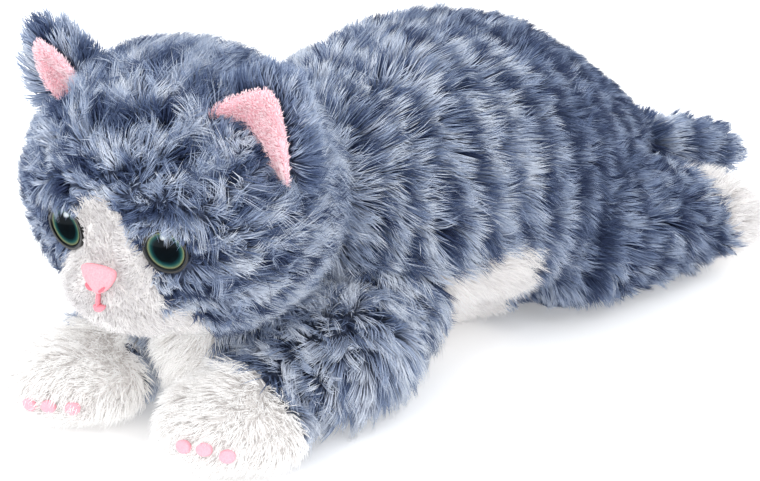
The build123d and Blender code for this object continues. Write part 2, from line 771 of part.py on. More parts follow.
# ---------------------------------------------------------------- all the pieces
def build():
    face_front = front_shell()
    nodes = {
        "shoulder_panel": shoulder_panel(),
        "rump_panel": rump_panel(),
        "belly_panel": belly_panel(),
        "chest_panel": chest_panel(),
        "body_filling": body_filling(),
        "hind_leg_left": hind_leg(),
        "hind_leg_right": mirrored(hind_leg()),
        "hind_paw_left": above_ground(hind_paw()),
        "hind_paw_right": mirrored(above_ground(hind_paw())),
        "case_lower": case_lower(),
        "case_upper": case_upper() - case_screw_holes(),
        "case_screws": case_screws(),
        "battery_door": battery_door(),
        "battery_cells": battery_cells(),
        "battery_contacts": battery_contacts(),
        "circuit_board": circuit_board(),
        "speaker": speaker(),
        "purr_motor": purr_motor(),
        "purr_weight": purr_weight(),
        "switch_body": switch_body(),
        "switch_knob": switch_knob(),
        "back_button": back_button(),
        "neck_base": neck_base(),
        "neck_shaft": neck_shaft(),
        "turn_gear": turn_gear(),
        "turn_motor": turn_motor(),
        "turn_pinion": turn_pinion(),
        "neck_yoke": on_pivot(yoke()),
        "nod_pins": on_pivot(nod_pins()),
        "nod_motor": on_pivot(nod_motor()),
        "nod_pinion": on_pivot(nod_pinion()),
        "nod_sector": on_pivot(nod_sector()),
        "head_front": to_head(face_front - face_outline()),
        "face_panel": to_head(face_front & face_outline()),
        "head_back": to_head(head_back()),
        "head_filling": to_head(head_filling()),
        "skull_front": to_head(skull_front()),
        "skull_back": to_head(skull_back()),
        "ear_back_left": to_head(ear_back()),
        "ear_back_right": to_head(mirrored(ear_back())),
        "ear_lining_left": to_head(ear_lining()),
        "ear_lining_right": to_head(mirrored(ear_lining())),
        "nose_pad": to_head(nose_pad()),
        "mouth_stitch": to_head(mouth_stitch()),
        "eye_cups": to_head(eye_pair(eye_cup())),
        "eye_irises": to_head(eye_pair(eye_iris())),
        "eye_domes": to_head(eye_pair(eye_dome())),
        "eye_washers": to_head(eye_pair(eye_washer())),
        "head_button": to_head(head_button()),
        "tail_cover": tail_cover(),
        "tail_arm": tail_arm(),
        "tail_shaft": tail_shaft(),
        "tail_gear": tail_gear(),
        "tail_bracket": tail_bracket(),
        "tail_motor": tail_motor(),
        "tail_pinion": tail_pinion(),
    }
    for side in ("left", "right"):
        nodes[f"front_leg_{side}"] = front_leg(side)
        nodes[f"front_paw_{side}"] = clear_of_body(above_ground(front_paw(side)))
    return nodes


for name, shape in build().items():
    export_step(shape, f"parts/{name}.step")
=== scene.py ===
import json
import math

import bmesh
import bpy
import numpy as np
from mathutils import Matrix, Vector, kdtree


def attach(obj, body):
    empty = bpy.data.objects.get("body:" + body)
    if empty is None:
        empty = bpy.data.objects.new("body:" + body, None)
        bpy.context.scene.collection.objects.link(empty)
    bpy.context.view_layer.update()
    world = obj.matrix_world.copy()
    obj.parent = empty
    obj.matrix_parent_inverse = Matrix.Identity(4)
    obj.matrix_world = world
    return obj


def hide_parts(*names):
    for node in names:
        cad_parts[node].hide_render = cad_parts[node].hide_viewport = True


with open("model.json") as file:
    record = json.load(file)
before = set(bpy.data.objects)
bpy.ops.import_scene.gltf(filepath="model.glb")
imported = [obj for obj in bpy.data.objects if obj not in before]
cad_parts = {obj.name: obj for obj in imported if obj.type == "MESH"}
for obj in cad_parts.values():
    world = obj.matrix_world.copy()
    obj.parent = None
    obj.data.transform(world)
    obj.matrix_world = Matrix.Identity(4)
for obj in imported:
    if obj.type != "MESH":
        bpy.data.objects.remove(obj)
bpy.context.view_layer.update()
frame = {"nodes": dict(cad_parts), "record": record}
nodes = frame["nodes"]

# Shapes are worked out in millimetres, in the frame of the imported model, and written in metres.
MM = 0.001
SEED = 20
FUR_SCALE = 1.0


# ---------------------------------------------------------------- numbers shared with the frame
SKIN = 6.5              # from the middle of the pile down to the backing cloth
PAW_SKIN = 4.5          # the same where the pile is short: paws and tail
TORSO_START = np.array([0.0, -10.0, 64.5])
TORSO_SLOPE = math.radians(9.2)
TORSO_AXIS = np.array([0.0, math.cos(TORSO_SLOPE), -math.sin(TORSO_SLOPE)])
TORSO_PROFILE = [
    (-98, 0), (-88, 26), (-72, 39), (-49, 52), (-16, 60), (8, 62),
    (30, 60.5), (60, 52.5), (84, 43), (102, 34.5), (118, 26), (132, 15), (139, 0),
]
STRIPE_COUNT = [(-98, 0.0), (-50, 4.3), (-10, 7.2), (150, 16.6)]     # stripes counted along the torso
CHEST_CENTRE, CHEST_RADII = np.array([0.0, -118.0, 32.0]), np.array([33.0, 38.0, 33.0])
SHOULDER, SHOULDER_RADIUS = np.array([22.0, -68.0, 37.0]), 29.0
NECK_PIVOT = np.array([0.0, -126.0, 84.0])
HEAD_OFFSET = np.array([0.0, -29.3, 15.0])
HEAD_RADII = np.array([55.0, 49.0, 49.0])
HEAD_YAW = 9            # degrees that the head looks to its left at rest
HEAD_MOVES = [(t, n) for t in (-20, 0, 20) for n in (-6, 8)]
PAW_RADII = np.array([30.5, 30.5, 18.6])
FRONT_PAWS = {"left": np.array([30.0, -157.0, 17.0]), "right": np.array([-43.0, -163.0, 17.0])}
FRONT_ELBOWS = {"left": np.array([36.0, -96.0, 27.0]), "right": np.array([-41.0, -97.0, 27.0])}
FRONT_LEG_PROFILE = [(-26, 0), (-18, 17), (0, 24), (26, 22), (50, 19.5), (65, 13), (71, 0)]
HIND_HIP, HIND_ANKLE = np.array([31.0, 38.0, 35.0]), np.array([50.0, 110.0, 22.5])
HIND_LEG_PROFILE = [(-37, 0), (-27, 25), (0, 36), (34, 31), (66, 23), (80, 15), (85, 0)]
HIND_PAW, HIND_PAW_RADII = np.array([55.0, 121.0, 20.0]), np.array([23.5, 22.0, 20.5])
TAIL_PIVOT = np.array([3.4, 103.0, 51.0])
TAIL_YAW, TAIL_DROOP = math.radians(12), math.radians(17)
TAIL_AXIS = np.array([
    math.sin(TAIL_YAW) * math.cos(TAIL_DROOP),
    math.cos(TAIL_YAW) * math.cos(TAIL_DROOP),
    -math.sin(TAIL_DROOP),
])
TAIL_PROFILE = [(17, 0), (20, 8), (30, 11.5), (62, 12), (80, 11), (88, 7.5), (91, 0)]
EYE_CENTRE, EYE_RADIUS = (21.0, -36.5, -4.0), 8.5
EYE_OUT, EYE_DOWN = math.radians(11.0), math.radians(8.0)     # where each eye looks
SIDES = {"left": 1, "right": -1}
TOES = {
    "left": [(32.9, -186.7, 21.1), (41.3, -184.3, 21.8), (49.3, -180.3, 19.7)],
    "right": [(-39.5, -193.3, 16.2), (-31.1, -191.1, 17.2), (-22.9, -185.9, 17.0)],
}


def unit(v):
    v = np.asarray(v, float)
    return v / np.maximum(np.linalg.norm(v, axis=-1, keepdims=True), 1e-9)


def step(x, low, high):
    """0 below low, 1 above high, smooth between."""
    t = np.clip((x - low) / (high - low), 0, 1)
    return t * t * (3 - 2 * t)


def turned(points, degrees):
    """Turn points about the upright axis."""
    a = math.radians(degrees)
    matrix = np.array([[math.cos(a), -math.sin(a), 0], [math.sin(a), math.cos(a), 0], [0, 0, 1]])
    return points @ matrix.T


def tilted(points, degrees):
    """Tilt points about the sideways axis."""
    a = math.radians(degrees)
    matrix = np.array([[1, 0, 0], [0, math.cos(a), -math.sin(a)], [0, math.sin(a), math.cos(a)]])
    return points @ matrix.T


def head_to_world(points, turn=0.0, nod=0.0):
    moved = tilted(np.asarray(points, float) + HEAD_OFFSET, nod)
    return turned(moved, HEAD_YAW + turn) + NECK_PIVOT


def world_to_head(points, turn=0.0, nod=0.0):
    moved = turned(np.asarray(points, float) - NECK_PIVOT, -HEAD_YAW - turn)
    return tilted(moved, -nod) - HEAD_OFFSET


class Waves:
    """Smooth noise, about -1 to 1, as a sum of plane waves in fixed random directions."""

    def __init__(self, seed, size, count=14):
        rng = np.random.default_rng(seed)
        self.k = unit(rng.normal(size=(count, 3))) * rng.uniform(0.6, 1.5, (count, 1)) * 2 * math.pi / size
        self.phase = rng.uniform(0, 2 * math.pi, count)

    def __call__(self, points):
        return np.cos(points @ self.k.T + self.phase).sum(1) / math.sqrt(len(self.phase) / 2) / 1.6


# ---------------------------------------------------------------- materials
def linear(red, green, blue):
    """0-255 screen colour to linear light."""
    out = []
    for c in (red, green, blue):
        c = c / 255
        out.append(c / 12.92 if c <= 0.04045 else ((c + 0.055) / 1.055) ** 2.4)
    return (*out, 1.0)


def new_material(name):
    material = bpy.data.materials.new(name)
    material.use_nodes = True
    tree = material.node_tree
    return material, tree, tree.nodes["Principled BSDF"]


def fill(node, inputs):
    """Set a node's inputs, each from a plain value or from another node's output."""
    for key, value in inputs.items():
        if isinstance(value, bpy.types.NodeSocket):
            node.id_data.links.new(value, node.inputs[key])
        else:
            node.inputs[key].default_value = value


def add_node(tree, kind, inputs=None, **values):
    node = tree.nodes.new(kind)
    for key, value in values.items():
        setattr(node, key, value)
    fill(node, inputs or {})
    return node


def math_node(tree, operation, *inputs):
    return add_node(tree, "ShaderNodeMath", dict(enumerate(inputs)), operation=operation).outputs["Value"]


def ramp_node(tree, source, stops):
    ramp = add_node(tree, "ShaderNodeValToRGB", {"Fac": source})
    elements = ramp.color_ramp.elements
    while len(elements) < len(stops):
        elements.new(0.5)
    for element, (place, colour) in zip(elements, stops):
        element.position = place
        element.color = colour
    return ramp.outputs["Color"]


def uv_parts(tree, layer):
    uv = add_node(tree, "ShaderNodeUVMap", uv_map=layer)
    split = add_node(tree, "ShaderNodeSeparateXYZ", {"Vector": uv.outputs["UV"]})
    return split.outputs["X"], split.outputs["Y"]


def fur_material(name, tones, root_painted_shade, roughness=0.7, glow=0.0):
    """Colour by the strand's own tone (U), darkened towards the root (V) as painted shade deep in the pile;
    glow is painted light, an emission that stands for light passing through thin strands."""
    material, tree, shader = new_material(name)
    own_tone, place = uv_parts(tree, "OFBake")
    shaded = add_node(tree, "ShaderNodeMix", {
        "Factor": 1.0, "A": ramp_node(tree, own_tone, tones), "B": ramp_node(tree, place, root_painted_shade),
    }, data_type="RGBA", blend_type="MULTIPLY")
    colour = shaded.outputs["Result"]
    fill(shader, {
        "Base Color": colour, "Emission Color": colour, "Emission Strength": glow,
        "Roughness": roughness, "Specular IOR Level": 0.25,
    })
    return material


def solid_material(name, colour, second, size, roughness=0.5, bump=0.15, metallic=0.0):
    """Colour, roughness and bump from noise of one size, in millimetres."""
    material, tree, shader = new_material(name)
    where = add_node(tree, "ShaderNodeTexCoord")
    noise = add_node(tree, "ShaderNodeTexNoise", {
        "Scale": 1000 / size, "Detail": 4.0, "Vector": where.outputs["Object"],
    })
    grain = noise.outputs["Fac"]
    rough = add_node(tree, "ShaderNodeMapRange", {
        "Value": grain, "To Min": max(roughness - 0.08, 0.02), "To Max": min(roughness + 0.1, 1.0),
    })
    lift = add_node(tree, "ShaderNodeBump", {
        "Strength": bump, "Distance": size * MM * 0.3, "Height": grain,
    })
    fill(shader, {
        "Base Color": ramp_node(tree, grain, [(0.3, linear(*second)), (0.7, linear(*colour))]),
        "Roughness": rough.outputs["Result"], "Normal": lift.outputs["Normal"], "Metallic": metallic,
    })
    return material


GREY_TONES = [
    (0.0, linear(46, 58, 90)), (0.25, linear(76, 92, 126)), (0.5, linear(128, 144, 174)),
    (0.75, linear(180, 192, 213)), (1.0, linear(222, 228, 238)),
]
WHITE_TONES = [
    (0.0, linear(214, 211, 212)), (0.5, linear(248, 246, 245)), (1.0, linear(255, 254, 253)),
]
PINK_TONES = [
    (0.0, linear(246, 202, 210)), (0.5, linear(252, 222, 228)), (1.0, linear(255, 238, 241)),
]
# How far each fur's colour darkens towards the root: painted shade deep in the pile.
GREY_ROOT_SHADE = [(0.0, (0.34, 0.36, 0.42, 1)), (0.45, (0.66, 0.68, 0.74, 1)), (0.9, (1, 1, 1, 1))]
WHITE_ROOT_SHADE = [(0.0, (0.86, 0.85, 0.85, 1)), (0.5, (0.97, 0.965, 0.96, 1)), (1.0, (1, 1, 1, 1))]
PINK_ROOT_SHADE = [(0.0, (0.9, 0.84, 0.85, 1)), (0.6, (0.98, 0.97, 0.97, 1)), (1.0, (1, 1, 1, 1))]
# glow: painted light, an emission that stands for light passing through the strands.
grey_fur = fur_material("grey_fur", GREY_TONES, GREY_ROOT_SHADE, glow=0.05)
white_fur = fur_material("white_fur", WHITE_TONES, WHITE_ROOT_SHADE, glow=0.15)
pink_fur = fur_material("pink_fur", PINK_TONES, PINK_ROOT_SHADE, roughness=0.85, glow=0.1)
grey_cloth = solid_material("grey_backing", (84, 95, 120), (52, 61, 86), 1.2, 0.95, 0.5)
white_cloth = solid_material("white_backing", (244, 241, 239), (226, 222, 220), 1.2, 0.95, 0.5)
pink_cloth = solid_material("pink_backing", (252, 206, 214), (246, 190, 200), 0.9, 0.95, 0.4)


# ---------------------------------------------------------------- meshes
def mesh_object(name, verts, faces, material=None, smooth=True, closed=False):
    """verts in millimetres; a closed form gets its faces turned outwards."""
    mesh = bpy.data.meshes.new(name)
    mesh.from_pydata((np.asarray(verts, float) * MM).tolist(), [], faces)
    mesh.validate()
    if closed:
        form = bmesh.new()
        form.from_mesh(mesh)
        bmesh.ops.remove_doubles(form, verts=form.verts, dist=1e-6)
        bmesh.ops.recalc_face_normals(form, faces=form.faces)
        form.to_mesh(mesh)
        form.free()
    obj = bpy.data.objects.new(name, mesh)
    bpy.context.scene.collection.objects.link(obj)
    if material is not None:
        mesh.materials.append(material)
    if smooth:
        mesh.shade_smooth()
    return obj


def ring_faces(rings, count, first=0):
    """Faces between neighbouring rings of count points each; first is the first ring's first point."""
    faces = []
    for r in range(rings - 1):
        low = first + r * count
        for s in range(count):
            e = (s + 1) % count
            faces.append((low + s, low + e, low + count + e, low + count + s))
    return faces


def frame_of(direction):
    """Two directions across a given one, and that one."""
    z = unit(direction)
    helper = np.array([0, 0, 1.0]) if abs(z[2]) < 0.9 else np.array([1.0, 0, 0])
    x = unit(np.cross(helper, z))
    return x, np.cross(z, x), z


def outline_of(profile, inset):
    """Height and radius along a smooth round-ended outline, moved in by inset."""
    points = np.array([(r, h) for h, r in profile], float)
    slopes = np.zeros_like(points)
    slopes[1:-1] = (points[2:] - points[:-2]) / 2
    ends = np.linalg.norm(points[1] - points[0]), np.linalg.norm(points[-1] - points[-2])
    slopes[0], slopes[-1] = (ends[0], 0), (-ends[1], 0)
    out = []
    for i in range(len(points) - 1):
        for t in np.linspace(0, 1, 8, endpoint=False):
            a = 2 * t ** 3 - 3 * t ** 2 + 1
            b = t ** 3 - 2 * t ** 2 + t
            c, d = -2 * t ** 3 + 3 * t ** 2, t ** 3 - t ** 2
            out.append(a * points[i] + b * slopes[i] + c * points[i + 1] + d * slopes[i + 1])
    out.append(points[-1])
    out = np.array(out)
    tangent = unit(np.gradient(out, axis=0))
    out = out - inset * np.stack([tangent[:, 1], -tangent[:, 0]], 1)
    out[:, 0] = np.maximum(out[:, 0], 0)
    body = out[out[:, 0] > 0.3]
    return np.vstack([[0, body[0][1]], body, [0, body[-1][1]]])


def lathe(name, start, direction, profile, inset, segments=64):
    x, y, z = frame_of(direction)
    curve = outline_of(profile, inset)
    angles = np.linspace(0, 2 * math.pi, segments, endpoint=False)
    rings = curve[1:-1]
    verts = [start + z * curve[0][1]]
    for radius, height in rings:
        for a in angles:
            verts.append(start + z * height + radius * (x * math.cos(a) + y * math.sin(a)))
    verts.append(start + z * curve[-1][1])
    last_ring, last = 1 + (len(rings) - 1) * segments, len(verts) - 1
    faces = [(0, 1 + (s + 1) % segments, 1 + s) for s in range(segments)]
    faces += ring_faces(len(rings), segments, 1)
    faces += [(last_ring + s, last_ring + (s + 1) % segments, last) for s in range(segments)]
    return mesh_object(name, verts, faces)


def ball(name, centre, radii, to_world=None, segments=48):
    """An ellipsoid as rings of points; to_world maps its own frame to the world's."""
    verts = []
    rings = segments // 2
    for r in range(rings + 1):
        polar = math.pi * r / rings
        for s in range(segments):
            a = 2 * math.pi * s / segments
            verts.append((
                radii[0] * math.sin(polar) * math.cos(a),
                radii[1] * math.sin(polar) * math.sin(a),
                radii[2] * math.cos(polar),
            ))
    faces = [face[:1] + face[:0:-1] for face in ring_faces(rings + 1, segments)]
    verts = np.array(verts) + np.asarray(centre)
    if to_world is not None:
        verts = to_world(verts)
    obj = mesh_object(name, verts, faces)
    weld = obj.modifiers.new("weld", "WELD")
    weld.merge_threshold = 1e-6
    return obj


def baked(obj):
    """Apply the modifiers."""
    graph = bpy.context.evaluated_depsgraph_get()
    mesh = bpy.data.meshes.new_from_object(obj.evaluated_get(graph))
    old = obj.data
    obj.modifiers.clear()
    obj.data = mesh
    bpy.data.meshes.remove(old)


def joined(name, parts, voxel, smooth):
    """One closed skin over overlapping closed forms."""
    verts, faces = [], []
    for part in parts:
        baked(part)
        base = len(verts)
        verts += [tuple(v.co / MM) for v in part.data.vertices]
        faces += [tuple(i + base for i in p.vertices) for p in part.data.polygons]
        bpy.data.objects.remove(part)
    obj = mesh_object(name, verts, faces)
    remesh = obj.modifiers.new("remesh", "REMESH")
    remesh.mode, remesh.voxel_size = "VOXEL", voxel * MM
    soften = obj.modifiers.new("soften", "SMOOTH")
    soften.factor, soften.iterations = 0.6, smooth
    baked(obj)
    obj.data.shade_smooth()
    return obj


CLOTH_PRESSURE = 4.0
CLOTH_FRAMES = 18


def stuffed(obj, cap):
    """Let the filling press a skin out as cloth; no point moves further than cap millimetres."""
    before = points_of(obj)
    cloth = obj.modifiers.new("cloth", "CLOTH")
    cloth.settings.quality = 4
    cloth.settings.use_pressure = True
    cloth.settings.uniform_pressure_force = CLOTH_PRESSURE
    cloth.settings.effector_weights.gravity = 0
    cloth.settings.tension_stiffness = cloth.settings.compression_stiffness = 12
    cloth.settings.bending_stiffness = 1.0
    cloth.collision_settings.use_collision = False
    scene = bpy.context.scene
    for number in range(1, CLOTH_FRAMES + 1):
        scene.frame_set(number)
    baked(obj)
    scene.frame_set(1)
    moved = points_of(obj) - before
    reach = np.linalg.norm(moved, axis=1)
    moved *= np.minimum(1, cap / np.maximum(reach, 1e-6))[:, None]
    set_points(obj, before + moved)
    obj.data.shade_smooth()


def points_of(obj):
    co = np.empty(len(obj.data.vertices) * 3, np.float32)
    obj.data.vertices.foreach_get("co", co)
    return co.reshape(-1, 3).astype(float) / MM


def set_points(obj, points):
    obj.data.vertices.foreach_set("co", (points * MM).astype(np.float32).ravel())
    obj.data.update()


def normals_of(obj):
    out = np.empty(len(obj.data.vertices) * 3, np.float32)
    obj.data.vertices.foreach_get("normal", out)
    return out.reshape(-1, 3).astype(float)


def scatter(obj, per_area, rng):
    """Points and normals spread evenly over a mesh; per_area is a number for each square millimetre."""
    mesh = obj.data
    mesh.calc_loop_triangles()
    tris = np.empty(len(mesh.loop_triangles) * 3, np.int32)
    mesh.loop_triangles.foreach_get("vertices", tris)
    tris = tris.reshape(-1, 3)
    co, no = points_of(obj), normals_of(obj)
    a, b, c = co[tris[:, 0]], co[tris[:, 1]], co[tris[:, 2]]
    area = np.linalg.norm(np.cross(b - a, c - a), axis=1) / 2
    count = int(area.sum() * per_area)
    pick = rng.choice(len(tris), count, p=area / area.sum())
    u, v = rng.random(count), rng.random(count)
    flip = u + v > 1
    u[flip], v[flip] = 1 - u[flip], 1 - v[flip]
    weights = np.stack([1 - u - v, u, v], 1)[:, :, None]
    chosen = tris[pick]
    return (co[chosen] * weights).sum(1), unit((no[chosen] * weights).sum(1))


# ---------------------------------------------------------------- strands of fur
DENSITY = 1.6 * FUR_SCALE               # strands for each square millimetre
WIDEN = 1.0      # fewer strands have to be wider to cover the cloth
PIECE_MOST = 12400                      # strands in one piece, so that it stays under 200,000 triangles
RING_PLACE = np.array([0.0, 0.36, 0.72])     # along the strand, before its tip
RING_WIDTH = np.array([0.8, 1.0, 0.62])
STRAND_POINTS = 10
FLOOR_GAP = 0.25                        # no strand goes nearer to the floor


def strand_mesh(name, curves, widths, tones, material, body):
    """Closed three-sided tapered strands as one mesh; U is a strand's tone, V its length."""
    root, middle, tip = curves
    count = len(root)
    side = unit(np.cross(tip - root, np.array([0.31, 0.52, 0.79])))
    verts = np.empty((count, STRAND_POINTS, 3))
    for r, t in enumerate(RING_PLACE):
        centre = (1 - t) ** 2 * root + 2 * t * (1 - t) * middle + t * t * tip
        along = unit(2 * (1 - t) * (middle - root) + 2 * t * (tip - middle))
        x = unit(side - (side * along).sum(1, keepdims=True) * along)
        y = np.cross(along, x)
        for s in range(3):
            a = 2 * math.pi * s / 3
            offset = x * math.cos(a) + y * math.sin(a)
            verts[:, 3 * r + s] = centre + offset * (widths[:, None] * RING_WIDTH[r] / 2)
    verts[:, -1] = tip
    verts[:, :, 2] = np.maximum(verts[:, :, 2], FLOOR_GAP)
    quads = [(3 * r + s, 3 * r + (s + 1) % 3, 3 * r + 3 + (s + 1) % 3, 3 * r + 3 + s)
             for r in range(2) for s in range(3)]
    tris = [(6 + s, 6 + (s + 1) % 3, 9) for s in range(3)] + [(2, 1, 0)]
    corner = np.array([i for f in quads + tris for i in f])
    sizes = np.array([4] * len(quads) + [3] * len(tris))
    loops = (corner[None, :] + STRAND_POINTS * np.arange(count)[:, None]).ravel()
    totals = np.tile(sizes, count)
    starts = np.concatenate([[0], np.cumsum(totals)[:-1]])
    level = np.array([0.02] * 3 + [0.36] * 3 + [0.72] * 3 + [0.98])
    uv = np.empty((count, len(corner), 2))
    uv[:, :, 0] = np.clip(tones, 0.01, 0.99)[:, None]
    uv[:, :, 1] = level[corner][None, :]
    mesh = bpy.data.meshes.new(name)
    mesh.vertices.add(count * STRAND_POINTS)
    mesh.vertices.foreach_set("co", (verts * MM).astype(np.float32).ravel())
    mesh.loops.add(len(loops))
    mesh.loops.foreach_set("vertex_index", loops.astype(np.int32))
    mesh.polygons.add(len(totals))
    mesh.polygons.foreach_set("loop_start", starts.astype(np.int32))
    mesh.update(calc_edges=True)
    layer = mesh.uv_layers.new(name="OFBake")
    layer.uv.foreach_set("vector", uv.astype(np.float32).ravel())
    mesh.shade_smooth()
    mesh.materials.append(material)
    obj = bpy.data.objects.new(name, mesh)
    bpy.context.scene.collection.objects.link(obj)
    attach(obj, body)


def gathered(points, curves, area, pull, count, rng):
    """Draw the tips of neighbouring strands together into tufts; also says whose tuft each is in."""
    middle, tip = curves
    seeds = min(max(int(count / (area * DENSITY)), 1), count)
    chosen = rng.choice(count, seeds, replace=False)
    tree = kdtree.KDTree(seeds)
    for i, c in enumerate(chosen):
        tree.insert(points[c], i)
    tree.balance()
    owner = np.array([tree.find(p)[1] for p in points])
    pull = (pull * rng.uniform(0.6, 1.1, count))[:, None]
    tip = tip + (tip[chosen[owner]] - tip) * pull
    middle = middle + (middle[chosen[owner]] - middle) * pull * 0.45
    return (middle, tip), owner, seeds


def grow(points, normals, comb, length, lean, tone, clump_area, clump_pull, rng, width=0.41, wild=0.3,
         stray=0.12, speckle=0.09):
    """Root, middle and tip of each strand, with the tips drawn together into tufts."""
    count = len(points)
    flow = unit(comb) + rng.normal(size=(count, 3)) * wild
    flow = unit(flow - (flow * normals).sum(1, keepdims=True) * normals)
    length = length * rng.uniform(0.78, 1.12, count)
    lean = np.radians(lean) * rng.uniform(0.82, 1.15, count)
    rise, run = np.cos(lean)[:, None], np.sin(lean)[:, None]
    tip = points + length[:, None] * (normals * rise + flow * run)
    middle = points + length[:, None] * (normals * 0.52 * (0.35 + 0.65 * rise) + flow * run * 0.28)
    curves, owner, seeds = gathered(points, (middle, tip), clump_area, clump_pull, count, rng)
    tone = tone + (rng.normal(size=seeds) * speckle)[owner]
    toss = rng.normal(size=(seeds, 3))[owner]
    toss = (toss - (toss * normals).sum(1, keepdims=True) * normals) * (length * stray)[:, None]
    curves = (curves[0] - toss * 0.2, curves[1] + toss)
    (middle, tip), owner, seeds = gathered(points, curves, clump_area * 6, clump_pull * 0.45, count, rng)
    tone = tone + (rng.normal(size=seeds) * 0.05)[owner] + rng.normal(size=count) * 0.055
    widths = np.ones(count) * width * rng.uniform(0.75, 1.25, count)
    return (points, middle, tip), widths, tone


def fur_pieces(name, grown, material, body):
    (root, middle, tip), widths, tones = grown
    order = np.argsort(root[:, 1], kind="stable")
    parts = max(math.ceil(len(order) / PIECE_MOST), 1)
    for i, index in enumerate(np.array_split(order, parts)):
        curves = (root[index], middle[index], tip[index])
        label = name if parts == 1 else f"{name}_{i + 1}"
        strand_mesh(label, curves, widths[index] * WIDEN, tones[index], material, body)


def part_fur(grown, keep):
    (root, middle, tip), widths, tones = grown
    return (root[keep], middle[keep], tip[keep]), widths[keep], tones[keep]


# ---------------------------------------------------------------- skins
def ellipsoid_gap(points, centre, radii):
    """Roughly how far points are outside an ellipsoid, negative inside."""
    q = (points - centre) / radii
    k = np.linalg.norm(q, axis=1)
    return (k - 1) * np.linalg.norm(points - centre, axis=1) / np.maximum(k, 1e-6)


def lathe_gap(points, start, direction, profile):
    z = unit(direction)
    h = (points - start) @ z
    rho = np.linalg.norm(points - start - h[:, None] * z, axis=1)
    curve = outline_of(profile, 0.0)
    radius = np.interp(h, curve[:, 1], curve[:, 0])
    beyond = np.maximum(curve[0, 1] - h, 0) + np.maximum(h - curve[-1, 1], 0)
    return rho - radius + beyond, h


HEAD_ROOM = 3.0         # on top of the head's radii less SKIN, where the body's cloth is cut back
CLOTH_FLOOR = 2.5       # the lowest that the body's cloth goes


def out_of_head(points):
    """Push points out of the space that the head passes through."""
    for turn, nod in HEAD_MOVES:
        local = world_to_head(points, turn, nod)
        radii = HEAD_RADII - SKIN + HEAD_ROOM
        k = np.linalg.norm(local / radii, axis=1)
        inside = k < 1
        local[inside] = local[inside] / np.maximum(k[inside], 0.2)[:, None]
        points = np.where(inside[:, None], head_to_world(local, turn, nod), points)
    return points


# Every form of the body: its name, place, then a direction and a profile, or radii, and its inset.
BODY_FORMS = [
    ("torso", TORSO_START, TORSO_AXIS, TORSO_PROFILE, SKIN),
    ("chest", CHEST_CENTRE, CHEST_RADII, None, SKIN),
]
PAW_RISE = np.array([0, 0, 3])          # a front leg's axis ends this far above its paw's centre
for side, sign in SIDES.items():
    paw, elbow, flip = FRONT_PAWS[side], FRONT_ELBOWS[side], np.array([sign, 1, 1])
    BODY_FORMS += [
        ("leg_" + side, elbow, paw + PAW_RISE - elbow, FRONT_LEG_PROFILE, SKIN),
        ("paw_" + side, paw, PAW_RADII, None, PAW_SKIN),
        ("hind_" + side, HIND_HIP * flip, (HIND_ANKLE - HIND_HIP) * flip, HIND_LEG_PROFILE, SKIN),
        ("foot_" + side, HIND_PAW * flip, HIND_PAW_RADII, None, PAW_SKIN),
        ("shoulder_" + side, SHOULDER * flip, np.full(3, SHOULDER_RADIUS), None, SKIN),
    ]
body_parts = []
for kind, place, size, profile, inset in BODY_FORMS:
    if profile:
        body_parts.append(lathe(kind, place, size, profile, inset))
    else:
        body_parts.append(ball(kind, place, size - inset))
body_skin = joined("body_skin", body_parts, 3.4, 9)
stuffed(body_skin, 3.0)
lumps = Waves(3, 34)
co = points_of(body_skin)
co = co + normals_of(body_skin) * (lumps(co) * 0.9)[:, None]
co = out_of_head(co)
co[:, 2] = np.maximum(co[:, 2], CLOTH_FLOOR)
set_points(body_skin, co)

MUZZLE_CENTRE, MUZZLE_RADII = np.array([0, -34.0, -24.0]), np.array([26.0, 15.0, 15.0])
head_parts = [
    ball("skull", (0, 1.5, 1.5), HEAD_RADII - (2.8, 4.8, 3.0), head_to_world),
    ball("muzzle", MUZZLE_CENTRE, MUZZLE_RADII - 2.6, head_to_world),
]
head_skin = joined("head_skin", head_parts, 2.6, 6)
stuffed(head_skin, 1.5)


def eye_axes(sign):
    """An eye's centre and the direction it looks in, on the head."""
    look = (
        sign * math.sin(EYE_OUT) * math.cos(EYE_DOWN), -math.cos(EYE_OUT) * math.cos(EYE_DOWN),
        -math.sin(EYE_DOWN),
    )
    return np.array(EYE_CENTRE) * (sign, 1, 1), np.array(look)


local = world_to_head(points_of(head_skin))
bridge = np.exp(-(local[:, 0] / 20) ** 2 - ((local[:, 2] - 3) / 13) ** 2) * (local[:, 1] < 0)
local[:, 1] += 3.0 * bridge
for sign in (1, -1):
    centre, look = eye_axes(sign)
    rel = local - centre
    h = rel @ look
    rho = np.linalg.norm(rel - h[:, None] * look, axis=1)
    sink = (h > -6) * (1 - step(rho, EYE_RADIUS + 0.2, EYE_RADIUS + 3.5))
    local = local + look * (np.minimum(-1.2 - h, 0) * sink)[:, None]
set_points(head_skin, head_to_world(local))

tail_skin = joined("tail_skin", [lathe("tail", TAIL_PIVOT, TAIL_AXIS, TAIL_PROFILE, PAW_SKIN)], 2.0, 3)
stuffed(tail_skin, 1.5)


# ---------------------------------------------------------------- patterns
def bands(phase, dark=0.42, soft=0.16):
    """1 between the stripes and 0 in them."""
    wave = np.abs((phase % 1) - 0.5) * 2
    return step(wave, dark - soft, dark + soft)


wobble, mottle, fine, swirl_a, swirl_b, swirl_c = (
    Waves(11, 46), Waves(12, 17), Waves(13, 7), Waves(14, 26), Waves(15, 26), Waves(16, 26),
)


def swirl(points, amount):
    """A smooth disorder of directions."""
    return np.stack([swirl_a(points), swirl_b(points), swirl_c(points)], 1) * amount


